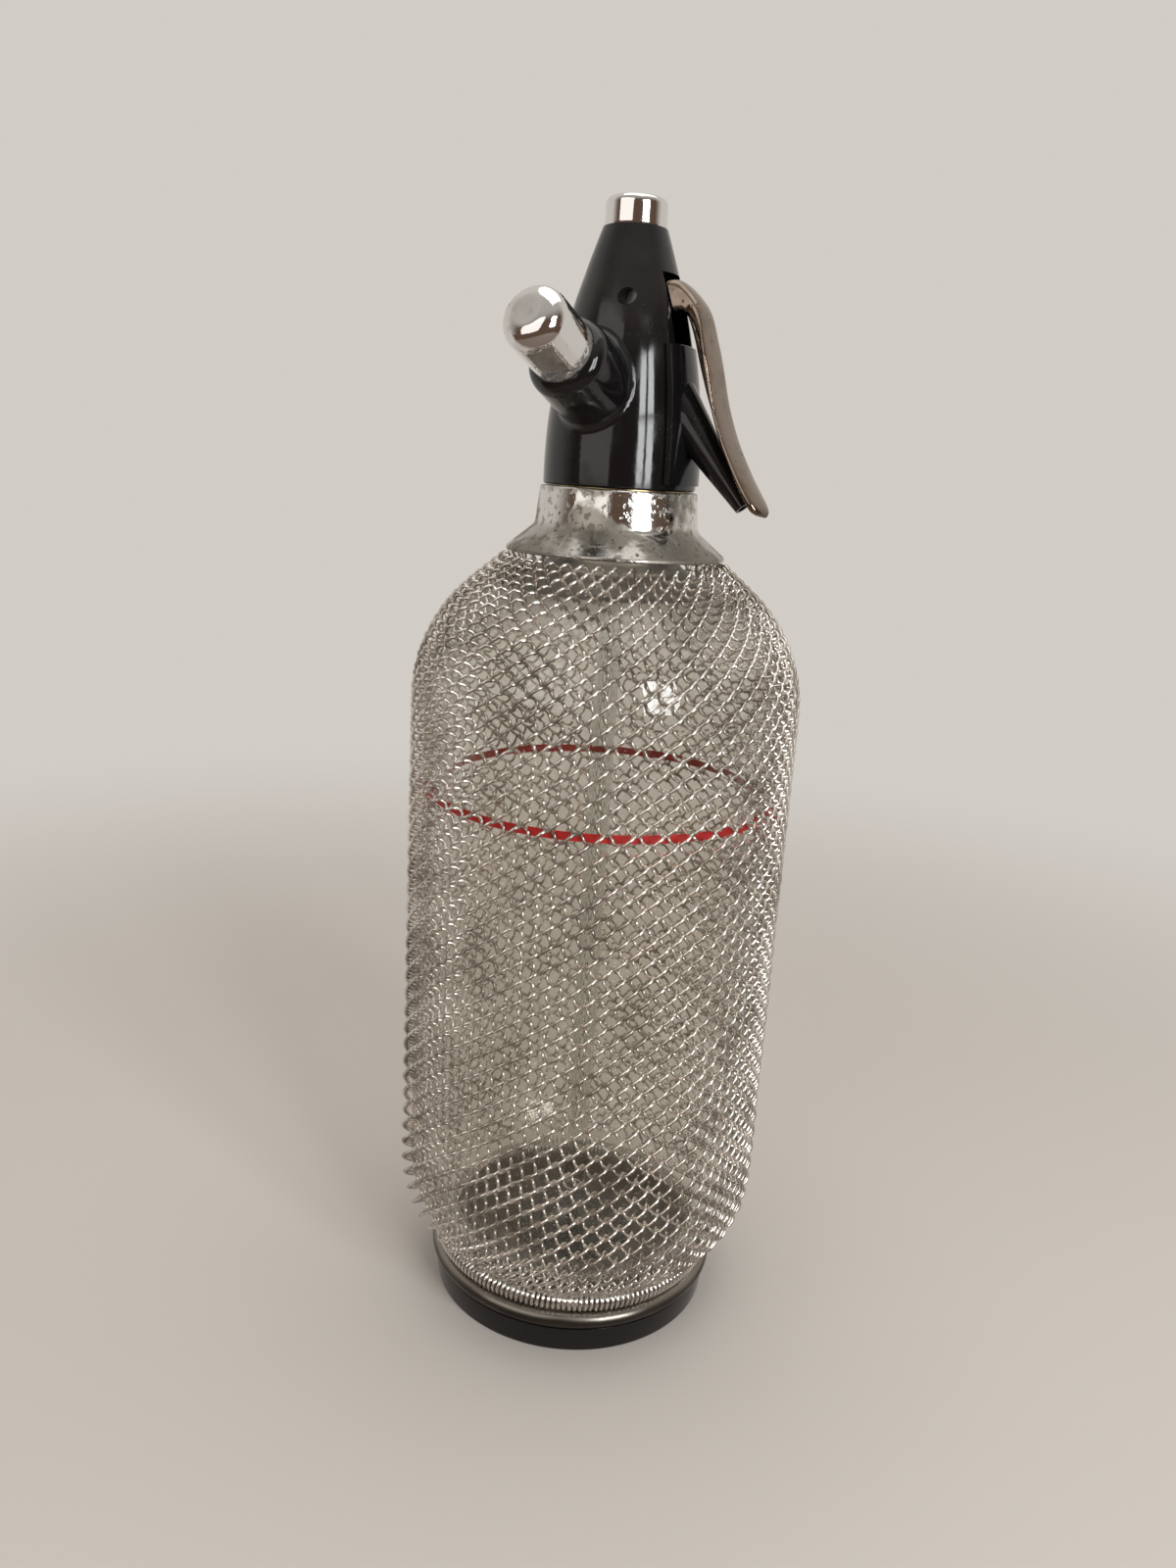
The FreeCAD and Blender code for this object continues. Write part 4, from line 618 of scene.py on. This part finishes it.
def room_light(scene, wall, room):
    """A pale wall all round what the camera sees, and the darker room that it stands in for
    the bright metal to mirror."""
    scene.world = bpy.data.worlds.new("room")
    g = Graph(scene.world, "Generated")
    near = g.mix(g.along(UP).ramp(0.35, 0.8), rgba(room), rgba(wall, 0.7))
    round_about = g.mix(g.along(AHEAD).ramp(-0.35, 0.25), near, rgba(wall))
    seen = g.ray("Is Camera Ray", "Is Transmission Ray")
    final = g.mix(seen, round_about, rgba(wall))
    shade = g.add("ShaderNodeBackground", {}, {"Color": final, "Strength": 1.0})
    g.add("ShaderNodeOutputWorld", {}, {"Surface": shade})


class SIPHON_OT_base(bpy.types.Operator):
    """Foot, base ring and garter spring"""
    bl_idname = "siphon.base"
    bl_label = "Base"

    def execute(self, context):
        sizes = context.scene.siphon_base
        foot = turned("foot_disc", rounded([
            (0.4, 2.5, 0.1), (40.0, 2.5, 0.4), (41.5, 0.0, 0.5), (50.3, 0.0, 0.7),
            (51.0, 9.15, 0.5), (22.0, 9.15, 0.4), (21.3, 13.95, 0.4), (0.4, 13.95, 0.1)]),
            dusty_moulding("foot_moulding", sizes.black, (0.20, 0.17, 0.14)), "bottle",
            sharp=30.0)
        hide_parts("foot")
        outer = spline([(50.3, 9.25), (51.2, 9.8), (52.0, 10.7), (52.4, 11.9), (52.2, 13.0),
                        (51.5, 14.1), (50.2, 14.9), (48.2, 15.1)], 40)
        inner = rounded([(43.0, 15.1, 0.3), (43.0, 9.25, 0.3)])
        # the ring's material paints reflections: dark surroundings in its colour, the spring on
        # its shoulder
        ring = turned("base_ring_glossy", np.vstack([outer, inner]),
                      metal_with_painted_reflection("ring_metal_painted_reflection", sizes.ring, (0.20, 0.17, 0.14)), "bottle")
        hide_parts("base_ring")
        spring = garter(sizes, wire_metal("spring_wire", sizes.spring, (0.72, 0.69, 0.64), 0.12))
        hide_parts("garter_spring")
        return {"FINISHED"}


def garter(sizes, material):
    """A coil bent into a ring: its centre runs round a circle of radius R at height h, and the
    wire's centre turns round that with radius c:
    place = (R + c cos p) O + (h + c sin p) U, with O outwards, U up and p turning once per
    coil."""
    around, sides = sizes.turns * 12, 6
    ring, level, outside = 48.4, 18.6, 3.4
    wire = sizes.wire / MM / 2
    coil = outside - wire
    a = np.linspace(0, 2 * np.pi, around, endpoint=False)
    phase = a * sizes.turns
    out = np.stack([np.cos(a), np.sin(a), 0 * a], axis=-1)
    radial = np.cos(phase)[:, None] * out + np.sin(phase)[:, None] * np.array(UP)
    centre = ring * out + np.array([0, 0, level]) + coil * radial
    return tube("garter_coil", centre[None], radial[None], wire, sides, material,
                "bottle")


def tube(name, centre, radial, wire, sides, material, body):
    """Closed wires of radius w, one per row of centre points: at each point the wire's
    direction T is the difference of its neighbours, N is the given radial direction squared
    up to T, and the ring is centre + w (cos b N + sin b T x N)."""
    along = np.roll(centre, -1, axis=1) - np.roll(centre, 1, axis=1)
    along = along / np.linalg.norm(along, axis=-1, keepdims=True)
    normal = radial - np.sum(radial * along, axis=-1, keepdims=True) * along
    normal = normal / np.linalg.norm(normal, axis=-1, keepdims=True)
    across = np.cross(along, normal)
    b = np.linspace(0, 2 * np.pi, sides, endpoint=False)
    offset = (np.cos(b)[:, None] * normal[:, :, None] + np.sin(b)[:, None] * across[:, :, None])
    points = centre[:, :, None] + wire * offset
    rows, count = centre.shape[:2]
    quads = grid_faces(count, sides, True)[:, ::-1]
    quads = (quads[None] + (np.arange(rows) * count * sides)[:, None, None]).reshape(-1, 4)
    return piece(name, points.reshape(-1, 3), quads, material, body, sharp=180.0)


class SIPHON_OT_bottle(bpy.types.Operator):
    """Glass and its red fill line"""
    bl_idname = "siphon.bottle"
    bl_label = "Bottle"

    def execute(self, context):
        # painted shade: the glass's brown-grey tint darkens everything seen through the bottle,
        # twice over through its two walls
        dress("glass_bottle", clear_glass("bottle_glass", (0.84, 0.82, 0.775), 0.01, 1.5))
        line = np.array([(59.22, 186.5), (59.34, 186.6), (59.38, 187.9), (59.34, 189.2),
                         (59.22, 189.3)])
        turned("fill_line", line, red_paint("line_enamel", (0.52, 0.018, 0.015)), "bottle")
        return {"FINISHED"}


class SIPHON_OT_sleeve(bpy.types.Operator):
    """Rows of linked coils round the bottle"""
    bl_idname = "siphon.sleeve"
    bl_label = "Mesh sleeve"

    def execute(self, context):
        sizes = context.scene.siphon_sleeve
        metal = wire_metal("mesh_metal", sizes.color, sizes.dull, 0.10)
        centre, radial = sleeve_wires(sizes)
        cuts = np.linspace(0, sizes.rows, 5).astype(int)
        for number, (low, high) in enumerate(zip(cuts[:-1], cuts[1:]), start=1):
            band = tube("mesh_band_%d" % number, centre[low:high], radial[low:high],
                        sizes.wire / MM / 2, 5, metal, "bottle")
            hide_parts("mesh_sleeve")
        return {"FINISHED"}


def sleeve_wires(sizes):
    """Centre lines of the coils, and each point's direction out of its coil.

    The sleeve's middle runs up a lower arc, the straight wall, a shoulder arc and a slope;
    s is the way up it, t and turn are the angles passed on the two arcs. Row k is a coil
    round that middle, pushed half a turn on from its neighbours, so that each row's coils
    pass through the next row's: place = middle + n f N + m sin(p) M, with p the coil's angle,
    N outwards, M up and f = tanh(k cos p) / tanh(k), which flattens the coil's front and back.
    m is 0.88 n at the wall, and less where the sleeve is narrower. The way round runs ahead
    by a share of sin(p), so the outer strands lie flatter. Points are closer together at the
    bends, where p = q + 0.22 sin(2q) changes more slowly.

    The lowest rows are squeezed: their coils are less deep, and their middle lies further in.
    Sway shifts the coils along their rows and rise lifts them a little, both in slow waves."""
    rows, coils, steps = sizes.rows, sizes.coils, 14
    wire, depth = sizes.wire / MM, sizes.depth / MM
    low, straight, top, slope = 27.6, 168.0, 42.2, 14.6
    lower, shoulder, wall, wall_foot = 38.9, 48.7, 62.3, 50.0
    flat_share, lean, drawn_in = 0.9, 0.42, 2.0
    reach = (depth - wire) / 2
    s = (np.arange(rows) + 0.3) / rows * (low + straight + top + slope)
    squeeze = np.interp(s, [0, 14], [0.66, 1.0])
    t = np.clip((low - s) / lower, 0, None)
    turn = np.clip((s - low - straight) / shoulder, 0, top / shoulder)
    rest = np.clip(s - low - straight - top, 0, None)
    tilt = turn - t
    r = (wall - lower * (1 - np.cos(t)) - shoulder * (1 - np.cos(turn)) - rest * np.sin(turn)
         - (1 - squeeze) * drawn_in * np.cos(tilt))
    z = (wall_foot - lower * np.sin(t) + np.clip(s - low, 0, straight) + shoulder * np.sin(turn)
         + rest * np.cos(turn) - (1 - squeeze) * drawn_in * np.sin(tilt))
    p = np.linspace(0, 2 * np.pi * coils, coils * steps, endpoint=False)
    p = p + 0.22 * np.sin(2 * p)
    a = p / coils
    phase = p[None] + np.pi * np.arange(rows)[:, None]
    up = s[:, None]
    sway = 0.010 * np.sin(2 * a + up * 0.021) + 0.006 * np.sin(5 * a - up * 0.05)
    fade = np.clip(up / 40, 0, 1) * np.clip((s[-1] - up) / 40, 0, 1)
    rise = 0.5 * np.sin(3 * a + 1.0 + up * 0.012) * fade
    angle = a[None] + sway + lean * np.sin(phase) / coils
    flattened = np.tanh(flat_share * np.cos(phase)) / np.tanh(flat_share)
    swing_out = reach * squeeze[:, None] * flattened
    swing_up = 0.88 * reach * (0.45 + 0.55 * r / wall)[:, None] * np.sin(phase)
    out_r, out_z = np.cos(tilt)[:, None], np.sin(tilt)[:, None]
    far = r[:, None] + out_r * swing_out - out_z * (swing_up + rise)
    level = z[:, None] + out_z * swing_out + out_r * (swing_up + rise)
    centre = np.stack([far * np.cos(angle), far * np.sin(angle), level], axis=-1)
    flat = out_r * np.cos(phase) - out_z * np.sin(phase)
    lift = out_z * np.cos(phase) + out_r * np.sin(phase)
    radial = np.stack([flat * np.cos(angle), flat * np.sin(angle), lift], axis=-1)
    return centre, radial


class SIPHON_OT_collar(bpy.types.Operator):
    """Worn neck collar"""
    bl_idname = "siphon.collar"
    bl_label = "Neck collar"

    def execute(self, context):
        sizes = context.scene.siphon_head
        profile = rounded([
            (20.9, 267.0, 0.2), (23.1, 267.0, 0.3), (31.5, 266.6, 0.5), (35.5, 266.6, 0.35),
            (35.5, 267.7, 0.5), (26.5, 275.2, 1.2), (25.2, 287.4, 0.8), (22.05, 287.4, 0.3),
            (22.05, 268.8, 0.2), (20.9, 268.8, 0.2)])
        collar = turned("collar_spun", profile, worn_collar("worn_plate", sizes.collar),
                        "bottle", sharp=30.0)
        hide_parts("neck_collar")
        return {"FINISHED"}


class SIPHON_OT_head(bpy.types.Operator):
    """Black head, nozzle and lever pin"""
    bl_idname = "siphon.head"
    bl_label = "Head"

    def execute(self, context):
        sizes = context.scene.siphon_head
        black = black_moulding("head_moulding", sizes.black, 0.06)
        dress("head_body", black)
        dress("nozzle", black)
        dress("lever_pin", turned_metal("pin_steel", (0.42, 0.41, 0.40), 0.3))
        return {"FINISHED"}


class SIPHON_OT_caps(bpy.types.Operator):
    """Top cap and charger cap"""
    bl_idname = "siphon.caps"
    bl_label = "Chrome caps"

    def execute(self, context):
        sizes = context.scene.siphon_head
        chrome = plated("cap_chrome", sizes.chrome, 0.05, 1.0)
        dome = rounded([
            (8.05, 364.35, 0.1), (9.4, 364.35, 0.2), (9.55, 365.0, 0.3), (9.5, 373.0, 2.6),
            (0.2, 373.0, 0.05)], 9)
        under = np.array([(0.2, 371.0), (8.05, 371.0)])
        cap = turned("top_cap_dome", np.vstack([dome[2:], under]), chrome, "head")
        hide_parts("top_cap")
        lean = math.radians(25.0)
        dress("charger_cap", plated("charger_chrome", sizes.chrome, 0.05, 1.0,
                                    (0.0, -math.cos(lean), math.sin(lean)), (0.1715, 0.1745)))
        return {"FINISHED"}


class SIPHON_OT_lever(bpy.types.Operator):
    """Chromed lever: handle, rib, arm and fork"""
    bl_idname = "siphon.lever"
    bl_label = "Lever"

    def execute(self, context):
        sizes = context.scene.siphon_lever
        plate = worn_lever_painted_reflection("lever_plate_painted_reflection", sizes.color)
        wide, narrow, rib = sizes.width / MM, sizes.arm / MM, sizes.rib / MM
        back = [(14, 349.0), (19, 347.7), (25.6, 341.2), (28.8, 332.3), (31, 325), (33.7, 315),
                (37.5, 305.3), (41.66, 297.5), (46.4, 290), (52.1, 282.3)]
        palm = [(16, 340.5), (22, 339), (26.5, 332.3), (28.8, 325), (36.3, 304.2),
                (46.8, 285.6), (50.9, 281.4)]
        handle = bar("lever_handle", back, palm, [narrow, narrow, narrow + 1.2, wide, wide,
                     wide, wide, wide, wide, wide - 1.5], plate, "lever",
                     sizes.crown / MM, 0.06)
        rib_back = [(24.6, 338.6), (27.3, 332.3), (29.6, 325), (33.2, 314.5), (37.2, 304.6)]
        rib_edge = [(20.5, 339.5), (22, 336.5), (23.8, 332), (26.1, 325), (29.9, 315),
                    (33.9, 306.5), (36.9, 303.5)]
        web = bar("lever_rib", rib_back, rib_edge, [rib, rib], plate, "lever")
        arm_top = [(4.2, 345.4), (5.2, 346.6), (7.3, 346.9), (11, 348.4), (14, 349.0),
                   (19, 347.2), (21.5, 344.0)]
        arm_under = [(4.2, 339.7), (7.3, 339.1), (12, 339.1), (16.3, 339.1), (19.2, 339.7),
                     (22, 339.2)]
        arm = bar("lever_arm", arm_top, arm_under, [narrow, narrow], plate, "lever")
        prong_top = [(-4.1, 342.2), (-2.4, 343.9), (0, 344.8), (2.4, 343.6), (4.0, 343.2),
                     (7.3, 343.2)]
        prong_under = [(-4.1, 340.6), (-2.6, 339.7), (2, 339.7), (7.3, 339.7)]
        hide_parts("lever")
        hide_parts("lever")
        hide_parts("lever")
        for side, name in ((-1, "left"), (1, "right")):
            prong = bar("lever_prong_" + name, prong_top, prong_under, [1.9, 1.9], plate,
                        "lever", across=3.85 * side)
            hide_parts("lever")
        return {"FINISHED"}


class SIPHON_OT_inside(bpy.types.Operator):
    """Finishes of the parts inside the head and neck"""
    bl_idname = "siphon.inside"
    bl_label = "Inner parts"

    def execute(self, context):
        brass = turned_metal("turned_brass", (0.70, 0.55, 0.28), 0.2)
        steel = turned_metal("plain_steel", (0.55, 0.55, 0.55), 0.25)
        rubber = soft_rubber("seal_rubber", (0.03, 0.03, 0.03))
        finishes = {
            brass: ("head_ferrule", "valve_body", "valve_seat", "stem_nut", "gland_nut",
                    "tube_nut", "charge_nipple"),
            steel: ("clamp_ring", "valve_stem", "valve_spring", "pierce_pin"),
            rubber: ("neck_seal", "valve_washer", "stem_seal", "nipple_seal", "check_sleeve",
                     "cap_gasket"),
            clear_glass("dip_plastic", (0.92, 0.93, 0.91), 0.04, 1.2): ("dip_tube",),
        }
        for material, nodes in finishes.items():
            for node in nodes:
                dress(node, material)
        return {"FINISHED"}


class SIPHON_PT_panel(bpy.types.Panel):
    """Buttons that make the pieces of the siphon, and the sizes they use"""
    bl_idname = "SIPHON_PT_panel"
    bl_label = "Soda siphon"
    bl_space_type = "VIEW_3D"
    bl_region_type = "UI"
    bl_category = "Siphon"

    def draw(self, context):
        for operator in OPERATORS:
            self.layout.operator(operator.bl_idname)
        for name, group in GROUPS.items():
            box = self.layout.box()
            sizes = getattr(context.scene, name)
            for key in group.__annotations__:
                box.prop(sizes, key)


GROUPS = {
    "siphon_stage": StageSizes,
    "siphon_base": BaseSizes,
    "siphon_sleeve": SleeveSizes,
    "siphon_head": HeadSizes,
    "siphon_lever": LeverSizes,
}
OPERATORS = (SIPHON_OT_stage, SIPHON_OT_base, SIPHON_OT_bottle, SIPHON_OT_sleeve,
             SIPHON_OT_collar, SIPHON_OT_head, SIPHON_OT_caps, SIPHON_OT_lever,
             SIPHON_OT_inside)


def register():
    for name, group in GROUPS.items():
        bpy.utils.register_class(group)
        setattr(bpy.types.Scene, name, PointerProperty(type=group))
    for operator in OPERATORS:
        bpy.utils.register_class(operator)
    bpy.utils.register_class(SIPHON_PT_panel)


def unregister():
    bpy.utils.unregister_class(SIPHON_PT_panel)
    for operator in reversed(OPERATORS):
        bpy.utils.unregister_class(operator)
    for name, group in reversed(GROUPS.items()):
        delattr(bpy.types.Scene, name)
        bpy.utils.unregister_class(group)


def main():
    register()
    bpy.ops.siphon.stage()
    bpy.ops.siphon.base()
    bpy.ops.siphon.bottle()
    bpy.ops.siphon.sleeve()
    bpy.ops.siphon.collar()
    bpy.ops.siphon.head()
    bpy.ops.siphon.caps()
    bpy.ops.siphon.lever()
    bpy.ops.siphon.inside()


if __name__ == "__main__":
    main()
